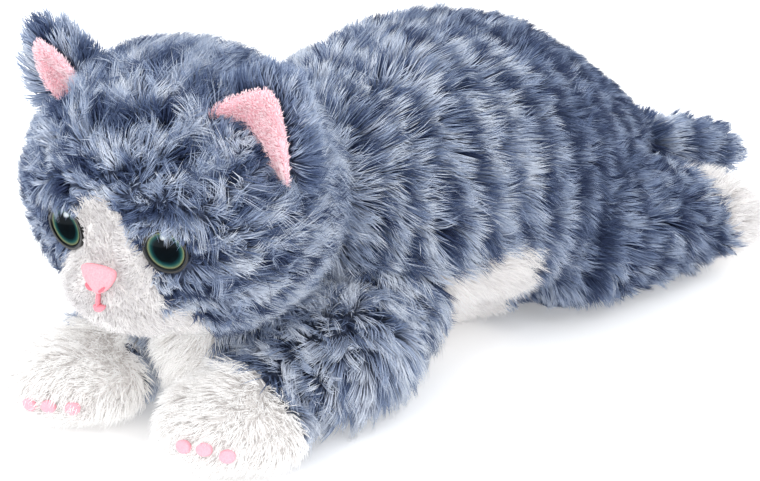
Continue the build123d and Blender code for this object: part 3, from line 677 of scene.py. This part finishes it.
def body_fields(points, normals):
    """For each root: comb, length, lean, tone, white or not, and which form it is on."""
    count = len(points)
    gaps, along_axis = [], {}
    for kind, place, size, profile, inset in BODY_FORMS:
        if profile:
            gap, along_axis[kind] = lathe_gap(points, place, size, profile)
        else:
            gap = ellipsoid_gap(points, place, size)
        gaps.append(np.abs(gap + inset))
    part = np.argmin(gaps, axis=0)
    comb = np.tile(TORSO_AXIS, (count, 1)) + np.array([0, 0, -0.35])
    length, lean = np.full(count, 15.5), np.full(count, 46.0)
    white = np.zeros(count, bool)
    wave = wobble(points)
    slant = along_axis["torso"] + 0.24 * (points[:, 2] - 62) + 2.6 * wave
    tone = bands(np.interp(slant, *zip(*STRIPE_COUNT)))
    contrast, lift = np.full(count, 0.6), np.full(count, 0.03)
    for i, (kind, place, size, profile, inset) in enumerate(BODY_FORMS):
        mine = part == i
        p, w = points[mine], wave[mine]
        h = along_axis[kind][mine] if profile else None
        name, _, side = kind.partition("_")
        if name == "torso":
            edge = p[:, 2] + 2.0 * w
            seam = h + 0.62 * p[:, 2] + 1.5 * w
            white[mine] = (edge < 53) & (seam < 26) & (p[:, 1] - 0.35 * (53 - edge) > -64)
            rear = step(p[:, 1], 20, 70) * step(p[:, 2], 60, 95)
            length[mine] = 16.3 - 3.0 * rear
        elif name == "shoulder":
            comb[mine] = np.array([0, 0.1, -1.0])
            # The shoulder's tone is lifted as painted light that offsets the head's shadow on it.
            lift[mine] = 0.18
        elif name == "chest":
            white[mine] = np.abs(p[:, 0] + 7 + 2 * w) < 17
            comb[mine] = unit(p - CHEST_CENTRE) * (0.5, 0.3, 0) + np.array([0, -0.2, -1.0])
            length[mine] = 13
        elif name == "leg":
            reach = step(h, 2, 30)[:, None]
            away = unit(FRONT_PAWS[side] - FRONT_ELBOWS[side])
            comb[mine] = away * reach + np.array([0, 0, -1.0]) * (1 - 0.75 * reach)
            tone[mine] = bands((h + 3 * w) / 13.0)
            white[mine] = h > 51 + 2.5 * w
            length[mine] = 13.5
            # The leg's tone is lifted as painted light that offsets the head's shadow on the arm.
            contrast[mine], lift[mine] = 0.4, 0.29
        elif name == "paw":
            away = unit(place - FRONT_ELBOWS[side])
            comb[mine] = unit(p - place) * 0.5 + away * 0.8 + np.array([0, 0, -0.5])
            white[mine] = (p - place) @ away > -12 + 2 * w
            length[mine], lean[mine] = 8.5, 54
        elif name in ("hind", "foot"):
            comb[mine] = unit((HIND_ANKLE - HIND_HIP) * (SIDES[side], 1, 1)) + np.array([0, 0, -0.3])
            tone[mine] = bands((along_axis["hind_" + side][mine] + 3 * w) / 15.0)
            white[mine] = p[:, 1] + 2.5 * w > 108 - 0.3 * (p[:, 2] - 20)
            if name == "foot":
                length[mine] = 10
    under = step(-normals[:, 2], 0.45, 0.8)
    length = length * (1 - 0.45 * under)
    rump = step(points[:, 1], -20, 40)
    haunch = rump * (1 - step(points[:, 2], 60, 95)) * (1 - step(points[:, 1], 80, 110))
    comb = unit(comb) + swirl(points, 0.3 + 0.1 * rump[:, None])
    tone = 0.5 + (tone - 0.5) * contrast * (1 - 0.1 * haunch)
    tone = tone + lift + 0.12 * mottle(points) + 0.05 * fine(points) - 0.06 * haunch
    tone = tone - (0.13 + 0.18 * step(points[:, 2], 45, 70)) * step(points[:, 1], -40, 20)
    # The white forward of y = -100 (chest and front paws) is painted lighter than the rest (belly and hind
    # feet): painted light at the front and painted shade under the body.
    white_painted_light = np.where(points[:, 1] < -100, 0.85, 0.32)
    tone = np.where(white, white_painted_light + 0.08 * mottle(points), tone)
    return comb, length, lean, tone, white, part


# Half-width of the white on the face at each height, on the kitten's left and right.
BLAZE_LEFT = [
    (-46, 17), (-34, 20), (-27, 21), (-20, 19.5), (-14, 16), (-8, 13), (-2, 11), (3, 8), (7, 4), (9, 0),
]
BLAZE_RIGHT = [
    (-46, 25), (-34, 29), (-27, 28), (-20, 25), (-14, 21), (-8, 18), (-2, 16), (3, 14), (8, 10), (12, 0),
]


def head_fields(points):
    """For each root: comb, length, lean, tone, white or not, and how far it is from an eye."""
    local = world_to_head(points)
    x, y, z = local.T
    nose = np.array([0, -49.0, -12.0])
    away = unit(local - nose)
    reach = np.linalg.norm(local - nose, axis=1)
    comb = away + np.stack([np.zeros(len(x)), step(y, -20, 30) * 0.2, -step(y, -5, 35) * 1.2], 1)
    half = np.where(x < 0, np.interp(z, *zip(*BLAZE_RIGHT)), np.interp(z, *zip(*BLAZE_LEFT)))
    white = (np.abs(x) < half + 1.0 * fine(points)) & (y < -4) & (z < 12)
    eye_gap, brow_gap = np.full(len(x), 99.0), np.zeros(len(x))
    for sign in (1, -1):
        centre, look = eye_axes(sign)
        rel = local - centre
        flat = rel - (rel @ look)[:, None] * look
        rho, front = np.linalg.norm(flat, axis=1), rel @ look > -12
        eye_gap = np.where(front, np.minimum(eye_gap, rho - EYE_RADIUS), eye_gap)
        near = (rho < EYE_RADIUS + 9) & front
        radial = unit(flat)
        above = step(radial[:, 2], 0.1, 0.6)[near][:, None] * (~white[near])[:, None]
        brow = np.array([0, -0.35, -0.9])
        comb[near] = comb[near] * 0.4 + radial[near] * 0.9 * (1 - above) + brow * above * 1.2
        brow_gap[near] = np.maximum(brow_gap[near], above[:, 0])
    length = 4.4 + 6.6 * step(reach, 20, 50) + 3.0 * step(y, -5, 25)
    length = np.where(white, 3.2 + 5.6 * step(reach, 14, 34), length)
    length = np.minimum(length, 3.8 + np.maximum(eye_gap, 0) * (0.75 + 0.6 * brow_gap) + 1.4 * brow_gap)
    lean = np.where(white, 60.0, 44.0)
    height = z - 0.32 * np.abs(x) - 0.22 * (y + 40) + 2.5 * wobble(points)
    rings = bands(height / 11.5, 0.4, 0.24)
    contrast = 0.5 + 0.26 * step(-z, -10, 6)
    tone = 0.49 + (rings - 0.5) * contrast + 0.17 * mottle(points) + 0.09 * fine(points)
    tone = tone - 0.16 * (1 - step(eye_gap, 1.0, 5.0)) * (~white)
    # Near the nose the white is painted darker, as painted shade on the muzzle, which faces down and away
    # from the light; it lightens further out.
    tone = np.where(white, 0.1 + 0.25 * step(reach, 12, 44) + 0.06 * mottle(points), tone)
    wild = (0.25 + 0.5 * step(z, 0, 20)) * ~white * (1 - brow_gap)
    comb = unit(comb) + swirl(local * 1.6, wild[:, None])
    return turned(comb, HEAD_YAW), length, lean, tone, white, eye_gap


def tail_fields(points):
    """For each root: comb, length, lean and tone."""
    h = (points - TAIL_PIVOT) @ TAIL_AXIS
    comb = np.tile(TAIL_AXIS, (len(points), 1)) + swirl(points, 0.35)
    tone = 0.5 + 0.5 * (bands((h + 3 * wobble(points)) / 19) - 0.5) + 0.12 * mottle(points)
    tone = tone - 0.22 * step(h, 72, 88)
    return comb, np.full(len(points), 13.0), np.full(len(points), 44.0), tone


# ---------------------------------------------------------------- ear shapes
# Each ear: the rim of its pink lining from the inner corner over the tip to the outer corner, the
# lining's lower edge, and the outline of the furry back; (x, z) across the head.
EARS = {
    "left": {
        "lead": 5.0,
        "rim": [(13.5, 32.0), (22.5, 38.6), (32.5, 44.6), (41.0, 48.6), (47.6, 49.8), (51.2, 44.5),
                (53.0, 36.5), (54.2, 27.5), (54.4, 18.5)],
        "low": [(15.0, 27.0), (22.5, 28.4), (30.5, 31.0), (35.5, 32.0), (38.2, 30.6), (40.0, 27.6),
                (42.6, 23.6), (47.0, 19.0), (52.6, 15.5)],
        "back": [(15, 31), (24, 41.5), (34, 47.5), (43, 51.8), (50.5, 51.5), (55, 43), (57.5, 30), (57.5, 17),
                 (48, 17), (30, 26)],
    },
    "right": {
        "lead": 0.0,
        "rim": [(-31.5, 39.2), (-34.0, 42.5), (-39.4, 47.2), (-45.0, 50.6), (-49.8, 52.0), (-51.2, 48.2),
                (-49.6, 41.5), (-46.2, 35.2), (-41.0, 31.0)],
        "low": [(-34.5, 35.0), (-35.6, 34.9), (-36.8, 34.6), (-37.8, 34.0), (-38.4, 33.2), (-38.8, 32.4),
                (-39.0, 31.6), (-39.1, 31.0), (-39.2, 30.5)],
        "back": [(-26, 38), (-32, 45), (-39, 50.5), (-46, 54.0), (-52.0, 55.0), (-56.0, 50), (-57, 41),
                 (-55, 30), (-46, 25), (-32, 29)],
    },
}
RIM_Y, LOW_Y = -12.5, -8.5


def along(points, count):
    """Evenly spread points on a smooth line through the given ones."""
    points = np.asarray(points, float)
    place = np.concatenate([[0], np.cumsum(np.linalg.norm(np.diff(points, axis=0), axis=1))])
    fine_line = np.linspace(0, place[-1], 400)
    dense = np.stack([np.interp(fine_line, place, points[:, k]) for k in (0, 1)], 1)
    kernel = np.hanning(41)
    kernel /= kernel.sum()
    padded = np.vstack([np.repeat(dense[:1], 20, 0), dense, np.repeat(dense[-1:], 20, 0)])
    soft = np.stack([np.convolve(padded[:, k], kernel, "valid") for k in (0, 1)], 1)
    return soft[np.linspace(0, 399, count).astype(int)]


def covers_lining(middles, tips):
    """True for strands whose middle or tip would stand in front of an ear's lining."""
    hit = np.zeros(len(tips), bool)
    for ear in EARS.values():
        outline = np.vstack([along(ear["rim"], 40), along(ear["low"], 40)[::-1]])
        centre = outline.mean(0)
        outline = centre + (outline - centre) * 0.93
        for points in (middles, tips):
            local = world_to_head(points)
            x, z = local[:, 0], local[:, 2]
            inside = np.zeros(len(x), bool)
            for (x0, z0), (x1, z1) in zip(outline, np.roll(outline, -1, axis=0)):
                crosses = (z0 > z) != (z1 > z)
                inside ^= crosses & (x < x0 + (z - z0) * (x1 - x0) / (z1 - z0 + 1e-9))
            hit |= inside & (local[:, 1] < LOW_Y + 2) & (local[:, 1] > -24)
    return hit


def ear_lining(name, ear, columns=44, rows=12):
    """A thin curved sheet from the rim to the low edge, with a front and a back."""
    rim, low = along(ear["rim"], columns + 1), along(ear["low"], columns + 1)
    verts = []
    for thick in (0.0, 1.3):
        for r in range(rows + 1):
            t = r / rows
            for c in range(columns + 1):
                x, z = rim[c] * (1 - t) + low[c] * t
                roll = -1.6 * math.sin(math.pi * min(t * 2.2, 1)) * (1 - t)
                y = RIM_Y + (LOW_Y - RIM_Y) * t ** 1.4 + roll * 0.6 + thick
                y -= ear["lead"] * max(1 - c / columns / 0.4, 0)
                verts.append((x, y, z))
    width, faces = columns + 1, []
    layer = width * (rows + 1)
    for k in (0, 1):
        for r in range(rows):
            for c in range(columns):
                a = k * layer + r * width + c
                faces.append((a, a + 1, a + width + 1, a + width))
    loop = list(range(width)) + [r * width + columns for r in range(1, rows + 1)]
    loop += [rows * width + c for c in range(columns - 1, -1, -1)]
    loop += [r * width for r in range(rows - 1, 0, -1)]
    for a, b in zip(loop, loop[1:] + loop[:1]):
        faces.append((a, b, b + layer, a + layer))
    return mesh_object(name, head_to_world(np.array(verts)), faces, pink_cloth, closed=True)


# ---------------------------------------------------------------- body fur
rng = np.random.default_rng(SEED)
P, N = scatter(body_skin, DENSITY, rng)
thin = (N[:, 2] < -0.6) & (P[:, 2] < 12) & (rng.random(len(P)) < 0.55)
toe_spots = np.array([spot for spots in TOES.values() for spot in spots])
toe_gap = np.linalg.norm(P[:, None] + N[:, None] * 5 - toe_spots, axis=2).min(1)
keep = ~(thin | (toe_gap < 2.7))
P, N = P[keep], N[keep]
comb, length, lean, tone, white, part = body_fields(P, N)
rear = step(P[:, 1], -10, 60)
arms = [i for i, form in enumerate(BODY_FORMS) if form[0].startswith(("leg", "shoulder"))]
tufted = np.isin(part, arms) & ~white
body_fur = grow(P, N, comb, length, lean, tone, 11.0, np.where(white, 0.25, 0.55 + 0.12 * rear), rng,
                width=np.where(white, 0.34, 0.41), stray=np.where(tufted, 0.28, 0.14) + 0.06 * rear,
                speckle=0.1)
fur_pieces("body_fur_grey", part_fur(body_fur, ~white), grey_fur, "body")
fur_pieces("body_fur_white", part_fur(body_fur, white), white_fur, "body")

P, N = scatter(head_skin, DENSITY * 1.6, rng)
comb, length, lean, tone, head_white, eye_gap = head_fields(P)
keep = eye_gap > 0.3
P, N, comb, length, lean, tone, head_white = (
    v[keep] for v in (P, N, comb, length, lean, tone, head_white))
head_fur = grow(P, N, comb, length, lean, tone, 6.5, np.where(head_white, 0.15, 0.5), rng,
                width=np.where(head_white, 0.3, 0.35), wild=0.42,
                stray=np.where(head_white, 0.05, 0.36), speckle=0.1)
(root, middle, tip), widths, tones = head_fur
trim = np.where(covers_lining(middle, tip), 0.4, 1.0)[:, None]
head_fur = (root, root + (middle - root) * trim, root + (tip - root) * trim), widths, tones
fur_pieces("head_fur_grey", part_fur(head_fur, ~head_white), grey_fur, "head")
fur_pieces("head_fur_white", part_fur(head_fur, head_white), white_fur, "head")

P, N = scatter(tail_skin, DENSITY, rng)
comb, length, lean, tone = tail_fields(P)
tail_fur = grow(P, N, comb, length, lean, tone, 14.0, 0.6, rng)
fur_pieces("tail_fur", tail_fur, grey_fur, "tail")


# ---------------------------------------------------------------- backing cloth pieces
PANELS = {"grey": grey_cloth, "white": white_cloth}


def split_skin(obj, white_of, body, replaced):
    """Cut a skin into its grey and its white panel."""
    co = points_of(obj)
    faces = [tuple(p.vertices) for p in obj.data.polygons]
    white = white_of(np.array([co[list(f)].mean(0) for f in faces]))
    for shade, mask in (("grey", ~white), ("white", white)):
        used = [f for f, m in zip(faces, mask) if m]
        index = {}
        for i in (i for f in used for i in f):
            index.setdefault(i, len(index))
        panel = mesh_object(f"{body}_panel_{shade}", co[list(index)],
                            [tuple(index[i] for i in f) for f in used], PANELS[shade])
        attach(panel, body)
        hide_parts(*replaced[shade])
    bpy.data.objects.remove(obj)


LEGS = [f"{kind}_{side}" for kind in ("front_leg", "hind_leg") for side in SIDES]
PAWS = [f"{kind}_{side}" for kind in ("front_paw", "hind_paw") for side in SIDES]
split_skin(body_skin, lambda c: body_fields(c, np.tile([0, 0, 1.0], (len(c), 1)))[4], "body", {
    "grey": ["shoulder_panel", "rump_panel", "body_filling", *LEGS],
    "white": ["belly_panel", "chest_panel", *PAWS],
})
split_skin(head_skin, lambda c: head_fields(c)[4], "head", {
    "grey": ["head_front", "head_back", "head_filling"], "white": ["face_panel"],
})
tail_skin.data.materials.append(grey_cloth)
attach(tail_skin, "tail")
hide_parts("tail_cover")


# ---------------------------------------------------------------- small padded forms
PAD_DEPTH = 1.6         # how far a small pad goes into what it sits on


def bump_pad(name, centre, across, up, out, outline, height, material, body, to_world=None):
    """A low padded form: outline is points on (across, up); it swells towards the middle."""
    across, up, out = unit(across), unit(up), unit(out)
    outline = np.asarray(outline, float)
    verts = []
    rings, count = 7, len(outline)
    for r in range(rings):
        k = 1 - r / rings
        rise = height * math.sqrt(max(1 - k * k, 0))
        for px, pz in outline * k:
            verts.append(centre + across * px + up * pz + out * rise)
    verts.append(centre + out * height)
    under = len(verts)
    for px, pz in outline:
        verts.append(centre + across * px + up * pz - out * PAD_DEPTH)
    verts.append(centre - out * PAD_DEPTH)
    faces = ring_faces(rings, count)
    for s in range(count):
        e = (s + 1) % count
        faces.append(((rings - 1) * count + s, (rings - 1) * count + e, under - 1))
        faces.append((s, under + s, under + e, e))
        faces.append((under + e, under + s, len(verts) - 1))
    verts = np.array(verts) if to_world is None else to_world(np.array(verts))
    obj = mesh_object(name, verts, faces, material, closed=True)
    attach(obj, body)
    return obj


def oval(width, height, count=28):
    a = np.linspace(0, 2 * math.pi, count, endpoint=False)
    return np.stack([width * np.cos(a), height * np.sin(a)], 1)


def rounded(points, count=9, radius=0.32):
    """A closed outline with its corners cut round."""
    points = np.asarray(points, float)
    out = []
    for i, p in enumerate(points):
        before, after = points[i - 1], points[(i + 1) % len(points)]
        a, b = p + (before - p) * radius, p + (after - p) * radius
        for t in np.linspace(0, 1, count):
            out.append((1 - t) ** 2 * a + 2 * t * (1 - t) * p + t * t * b)
    return np.array(out)


# ---------------------------------------------------------------- ears
for side, sign in SIDES.items():
    ear = EARS[side]
    lining = ear_lining(f"ear_lining_{side}_piece", ear)
    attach(lining, "head")
    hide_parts(f"ear_lining_{side}")
    outline = rounded(ear["back"], 5, 0.4)
    middle = outline.mean(0)
    back = bump_pad(f"ear_back_{side}_piece", np.array([middle[0], RIM_Y + 7.0, middle[1]]), (1, 0, 0),
                    (0, 0, 1), (0, 1, 0), outline - middle, 5.0, grey_cloth, "head",
                    head_to_world)
    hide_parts(f"ear_back_{side}")
    P, N = scatter(lining, 4.5 * FUR_SCALE, rng)
    front = turned(N, -HEAD_YAW)[:, 1] < 0.1
    P, N = P[front], N[front]
    up = turned(np.array([[10.0 * sign, 0, 30.0]]), HEAD_YAW)[0]
    shade = 0.62 + 0.12 * mottle(P)
    fuzz = grow(P, N, np.tile(up, (len(P), 1)), np.full(len(P), 1.9), np.full(len(P), 48.0), shade,
                2.0, 0.25, rng, width=0.3, wild=0.6)
    strand_mesh(f"ear_pile_{side}", fuzz[0], fuzz[1] * WIDEN, fuzz[2], pink_fur, "head")
    P, N = scatter(back, DENSITY * 1.2, rng)
    local = world_to_head(P)
    high = local[:, 2] > 16
    P, N, local = P[high], N[high], local[high]
    outward = turned(unit(local - np.array([middle[0] * 0.8, -12, middle[1] - 14])), HEAD_YAW)
    tone = 0.62 + 0.2 * mottle(P) + 0.08 * fine(P)
    edge = grow(P, N, outward + np.array([0, 0.1, 0.35]), np.full(len(P), 9.5), np.full(len(P), 46.0),
                tone, 9.0, 0.4, rng, wild=0.35)
    edge = part_fur(edge, ~covers_lining(edge[0][1], edge[0][2]))
    strand_mesh(f"ear_fur_{side}", edge[0], edge[1] * WIDEN, edge[2], grey_fur, "head")


# ---------------------------------------------------------------- eyes
def eye_pair(name, stations, material, replaced, segments=64):
    """A round form through (radius, height) stations about each eye's axis, both as one piece; the
    distance from the axis is its U."""
    verts, faces = [], []
    for sign in (1, -1):
        centre, look = eye_axes(sign)
        x, y, z = frame_of(look)
        faces += ring_faces(len(stations), segments, len(verts))
        for radius, height in stations:
            for s in range(segments):
                a = 2 * math.pi * s / segments
                verts.append(centre + z * height + radius * (x * math.cos(a) + y * math.sin(a)))
    obj = mesh_object(name, head_to_world(np.array(verts)), faces, material, closed=True)
    layer = obj.data.uv_layers.new(name="radius")
    local = world_to_head(points_of(obj))
    rho = np.min([
        np.linalg.norm(np.cross(local - centre, look), axis=1) for centre, look in map(eye_axes, (1, -1))
    ], axis=0)
    for loop, data in zip(obj.data.loops, layer.uv):
        data.vector = (rho[loop.vertex_index] / EYE_RADIUS, 0.5)
    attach(obj, "head")
    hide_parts(replaced)


IRIS_TONES = [
    (0.0, linear(3, 6, 9)), (0.55, linear(4, 12, 16)), (0.64, linear(14, 46, 50)),
    (0.71, linear(34, 80, 76)), (0.77, linear(84, 110, 88)), (0.81, linear(128, 132, 98)),
    (0.84, linear(54, 52, 36)), (0.87, linear(5, 5, 5)),
]
PAINTED_HIGHLIGHT_AIM = (0.33, -0.70, 0.63)          # where the painted highlight sits on each dome
PAINTED_ROOM_REFLECTION = [                           # painted reflection of the room on each dome, by how far it faces up
    (0.0, (0.10, 0.12, 0.14, 1)), (0.24, (0.16, 0.19, 0.22, 1)), (0.30, (0.55, 0.60, 0.66, 1)),
    (0.9, (0.75, 0.82, 0.9, 1)),
]


def iris_look():
    """Rings of colour by the distance from the eye's axis."""
    material, tree, shader = new_material("iris")
    noise = add_node(tree, "ShaderNodeTexNoise", {"Scale": 900})
    rho = math_node(tree, "MULTIPLY_ADD", noise.outputs["Fac"], 0.05, uv_parts(tree, "radius")[0])
    fill(shader, {
        "Base Color": ramp_node(tree, rho, IRIS_TONES), "Roughness": 0.35, "Specular IOR Level": 0.0,
    })
    return material


def dome_look():
    """Clear, with a painted reflection of the room and a painted highlight laid over its outer face as
    emission.
    """
    material, tree, shader = new_material("dome_painted_reflection")
    tree.nodes.remove(shader)
    surface = add_node(tree, "ShaderNodeNewGeometry")
    normal = surface.outputs["Normal"]
    parts = add_node(tree, "ShaderNodeSeparateXYZ", {"Vector": normal})
    towards = add_node(tree, "ShaderNodeVectorMath", {0: normal, 1: PAINTED_HIGHLIGHT_AIM}, operation="DOT_PRODUCT")
    # spot: the painted highlight.
    spot = ramp_node(tree, towards.outputs["Value"], [(0.985, (0, 0, 0, 1)), (0.994, (1, 1, 1, 1))])
    tone = add_node(tree, "ShaderNodeMix", {
        "Factor": spot, "A": ramp_node(tree, parts.outputs["Z"], PAINTED_ROOM_REFLECTION), "B": (0.85, 0.92, 0.97, 1),
    }, data_type="RGBA")
    painted_reflection = add_node(tree, "ShaderNodeEmission", {"Color": tone.outputs["Result"]})
    edge_on = add_node(tree, "ShaderNodeFresnel", {"IOR": 1.4})
    amount = math_node(tree, "MAXIMUM", edge_on.outputs["Fac"], spot)
    outside = math_node(tree, "SUBTRACT", 1.0, surface.outputs["Backfacing"])
    see_through = add_node(tree, "ShaderNodeBsdfTransparent")
    laid_over = add_node(tree, "ShaderNodeMixShader", {
        0: math_node(tree, "MULTIPLY", amount, outside),
        1: see_through.outputs["BSDF"],
        2: painted_reflection.outputs["Emission"],
    })
    fill(tree.nodes["Material Output"], {"Surface": laid_over.outputs["Shader"]})
    return material


iris_disc = [(0, 0.62), (3, 0.62), (5, 0.66), (6.4, 0.75), (7.6, 0.95), (7.6, 0.05), (0, 0.05)]
eye_pair("eye_iris_pair", iris_disc, iris_look(), "eye_irises")
DOME_BASE, DOME_RISE, DOME_FOOT = EYE_RADIUS - 0.85, 4.4, 1.02
bow = (DOME_BASE ** 2 + DOME_RISE ** 2) / (2 * DOME_RISE)
dome = [(0, DOME_FOOT), (DOME_BASE, DOME_FOOT)]
for k in range(1, 13):
    angle = math.asin(DOME_BASE / bow) * (1 - k / 12)
    dome.append((bow * math.sin(angle), DOME_FOOT + DOME_RISE - bow + bow * math.cos(angle)))
eye_pair("eye_dome_pair", dome, dome_look(), "eye_domes")


# ---------------------------------------------------------------- nose, mouth and toes
velvet = solid_material("nose_velvet", (246, 170, 178), (234, 146, 156), 0.6, 0.9, 0.4)
thread = solid_material("mouth_thread", (240, 150, 160), (226, 126, 140), 0.5, 0.8, 0.5)
# Darker velvet for the nostrils: painted shade of the dimples in the nose.
nostril_shade = solid_material("nostril_painted_shade", (226, 118, 130), (208, 96, 110), 0.5, 0.9, 0.4)
shield = [
    (-7.2, 4.0), (-2.8, 4.8), (2.8, 4.8), (7.2, 4.0), (6.6, 0.6), (3.4, -3.6), (0, -5.6), (-3.4, -3.6),
    (-6.6, 0.6),
]
nose = bump_pad("nose", np.array([0, -47.9, -15.2]), (1, 0, 0), (0, 0.12, 1), (0, -1, 0.12),
                rounded(shield, 6, 0.42), 2.0, velvet, "head", head_to_world)
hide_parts("nose_pad")
# The nostrils as raised darker pads, painted as the shade of the nose's dimples.
for side, sign in SIDES.items():
    bump_pad(f"nostril_{side}", np.array([sign * 2.7, -49.4, -18.0]), (1, 0, sign * 0.6), (0, 0.3, 1),
             (sign * 0.3, -1, -0.3), oval(1.7, 0.85), 0.6, nostril_shade, "head", head_to_world)
line = bump_pad("mouth_line", np.array([0.1, -48.8, -22.4]), (1, 0, 0), (0, 0.1, 1), (0, -1, 0),
                oval(0.5, 2.4), 0.6, thread, "head", head_to_world)
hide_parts("mouth_stitch")
bump_pad("mouth_spot", np.array([0.2, -48.5, -25.4]), (1, 0, 0), (0, 0.2, 1), (0, -1, -0.1),
         rounded([(-2.6, 0.9), (2.6, 0.9), (1.4, -1.5), (-1.4, -1.5)], 6, 0.4), 0.9, thread, "head",
         head_to_world)
satin = solid_material("toe_satin", (248, 176, 188), (238, 154, 168), 0.5, 0.6, 0.5)
for side, spots in TOES.items():
    for i, spot in enumerate(spots):
        spot = np.array(spot)
        out = unit((spot - FRONT_PAWS[side]) / PAW_RADII ** 2)
        side_way = unit(np.cross((0, 0, 1), out))
        bump_pad(f"toe_{side}_{i + 1}", spot - out * 1.4, side_way, np.cross(out, side_way), out,
                 oval(2.9, 2.4), 0.7, satin, "body")


# ---------------------------------------------------------------- materials of the inner parts
# Two colours, grain size, roughness, bump and, for metals, metallic for each slot of the record.
SLOT_LOOKS = {
    "case_plastic": ((226, 226, 221), (214, 214, 208), 2.5, 0.5, 0.1),
    "button_plastic": ((86, 90, 98), (70, 74, 82), 2.0, 0.45, 0.12),
    "gear_plastic": ((240, 238, 228), (226, 222, 208), 2.0, 0.4, 0.08),
    "steel": ((190, 192, 196), (158, 160, 166), 1.0, 0.32, 0.08, 1.0),
    "motor_can": ((178, 180, 184), (150, 152, 158), 1.5, 0.35, 0.1, 1.0),
    "cell_can": ((70, 74, 82), (54, 58, 66), 3.0, 0.35, 0.06, 0.3),
    "contact_brass": ((206, 178, 110), (178, 148, 84), 1.0, 0.35, 0.1, 1.0),
    "board": ((40, 110, 62), (28, 88, 48), 1.6, 0.5, 0.2),
    "speaker_black": ((44, 44, 48), (30, 30, 34), 0.8, 0.8, 0.5),
    "eye_black": ((10, 10, 11), (5, 5, 6), 1.5, 0.14, 0.03),
    "eye_iris": ((40, 90, 88), (30, 70, 70), 1.0, 0.3, 0.03),
    "eye_clear": ((220, 225, 225), (210, 215, 215), 1.0, 0.1, 0.02),
    "washer_nylon": ((236, 236, 232), (220, 220, 214), 1.0, 0.5, 0.1),
    "filling": ((240, 240, 238), (224, 224, 222), 1.0, 0.95, 0.6),
    "pink_plush": ((238, 172, 180), (222, 146, 156), 0.9, 0.95, 0.5),
    "grey_plush": ((84, 95, 120), (52, 61, 86), 1.2, 0.95, 0.5),
    "white_plush": ((232, 226, 220), (206, 199, 193), 1.2, 0.95, 0.5),
}
looks = {slot: solid_material("node_" + slot, *look) for slot, look in SLOT_LOOKS.items()}
for entry in frame["record"]["subparts"]:
    node = nodes[entry["node"]]
    for material_slot in node.material_slots:
        material_slot.material = looks[entry["material_slot"]]


# ---------------------------------------------------------------- floor, light and camera
FLOOR_REACH = 4000
corners = [(x * FLOOR_REACH, y * FLOOR_REACH, 0) for x, y in ((-1, -1), (1, -1), (1, 1), (-1, 1))]
floor_look = solid_material("floor_paper", (247, 247, 247), (245.2, 245.2, 245.6), 40.0, 0.9, 0.0)
fill(floor_look.node_tree.nodes["Principled BSDF"], {
    "Emission Color": (1, 1, 1, 1), "Emission Strength": 0.28,
})
floor = mesh_object("floor", corners, [(0, 1, 2, 3)], floor_look, smooth=False)

world = bpy.data.worlds.new("studio")
bpy.context.scene.world = world
world.use_nodes = True
fill(world.node_tree.nodes["Background"], {"Color": (0.96, 0.98, 1.0, 1), "Strength": 1.3})


def area_light(name, place, aim, size, watts):
    data = bpy.data.lights.new(name, "AREA")
    data.shape, data.size, data.energy = "DISK", size, watts
    obj = bpy.data.objects.new(name, data)
    bpy.context.scene.collection.objects.link(obj)
    obj.location = place
    obj.rotation_euler = (Vector(aim) - Vector(place)).to_track_quat("-Z", "Y").to_euler()


area_light("key", (-0.5, -0.5, 2.0), (0, -0.05, 0.05), 1.3, 16)
area_light("fill", (1.5, -0.6, 1.2), (0, -0.05, 0.05), 1.2, 9)
area_light("catch", (0.45, -1.3, 0.9), (0, -0.15, 0.09), 0.16, 2.2)

TARGET = Vector((0.009, -0.050, 0.050))
AZIMUTH, ELEVATION, DISTANCE = math.radians(40), math.radians(22), 0.9
back_vector = Vector((
    math.sin(AZIMUTH) * math.cos(ELEVATION),
    -math.cos(AZIMUTH) * math.cos(ELEVATION),
    math.sin(ELEVATION),
))
camera_data = bpy.data.cameras.new("camera")
camera_data.sensor_width = 36
camera_data.lens = 108.95
camera_data.clip_end = 20
camera = bpy.data.objects.new("camera", camera_data)
bpy.context.scene.collection.objects.link(camera)
camera.location = TARGET + back_vector * DISTANCE
camera.rotation_euler = (-back_vector).to_track_quat("-Z", "Y").to_euler()
bpy.context.scene.camera = camera
bpy.context.scene.view_settings.view_transform = "Standard"
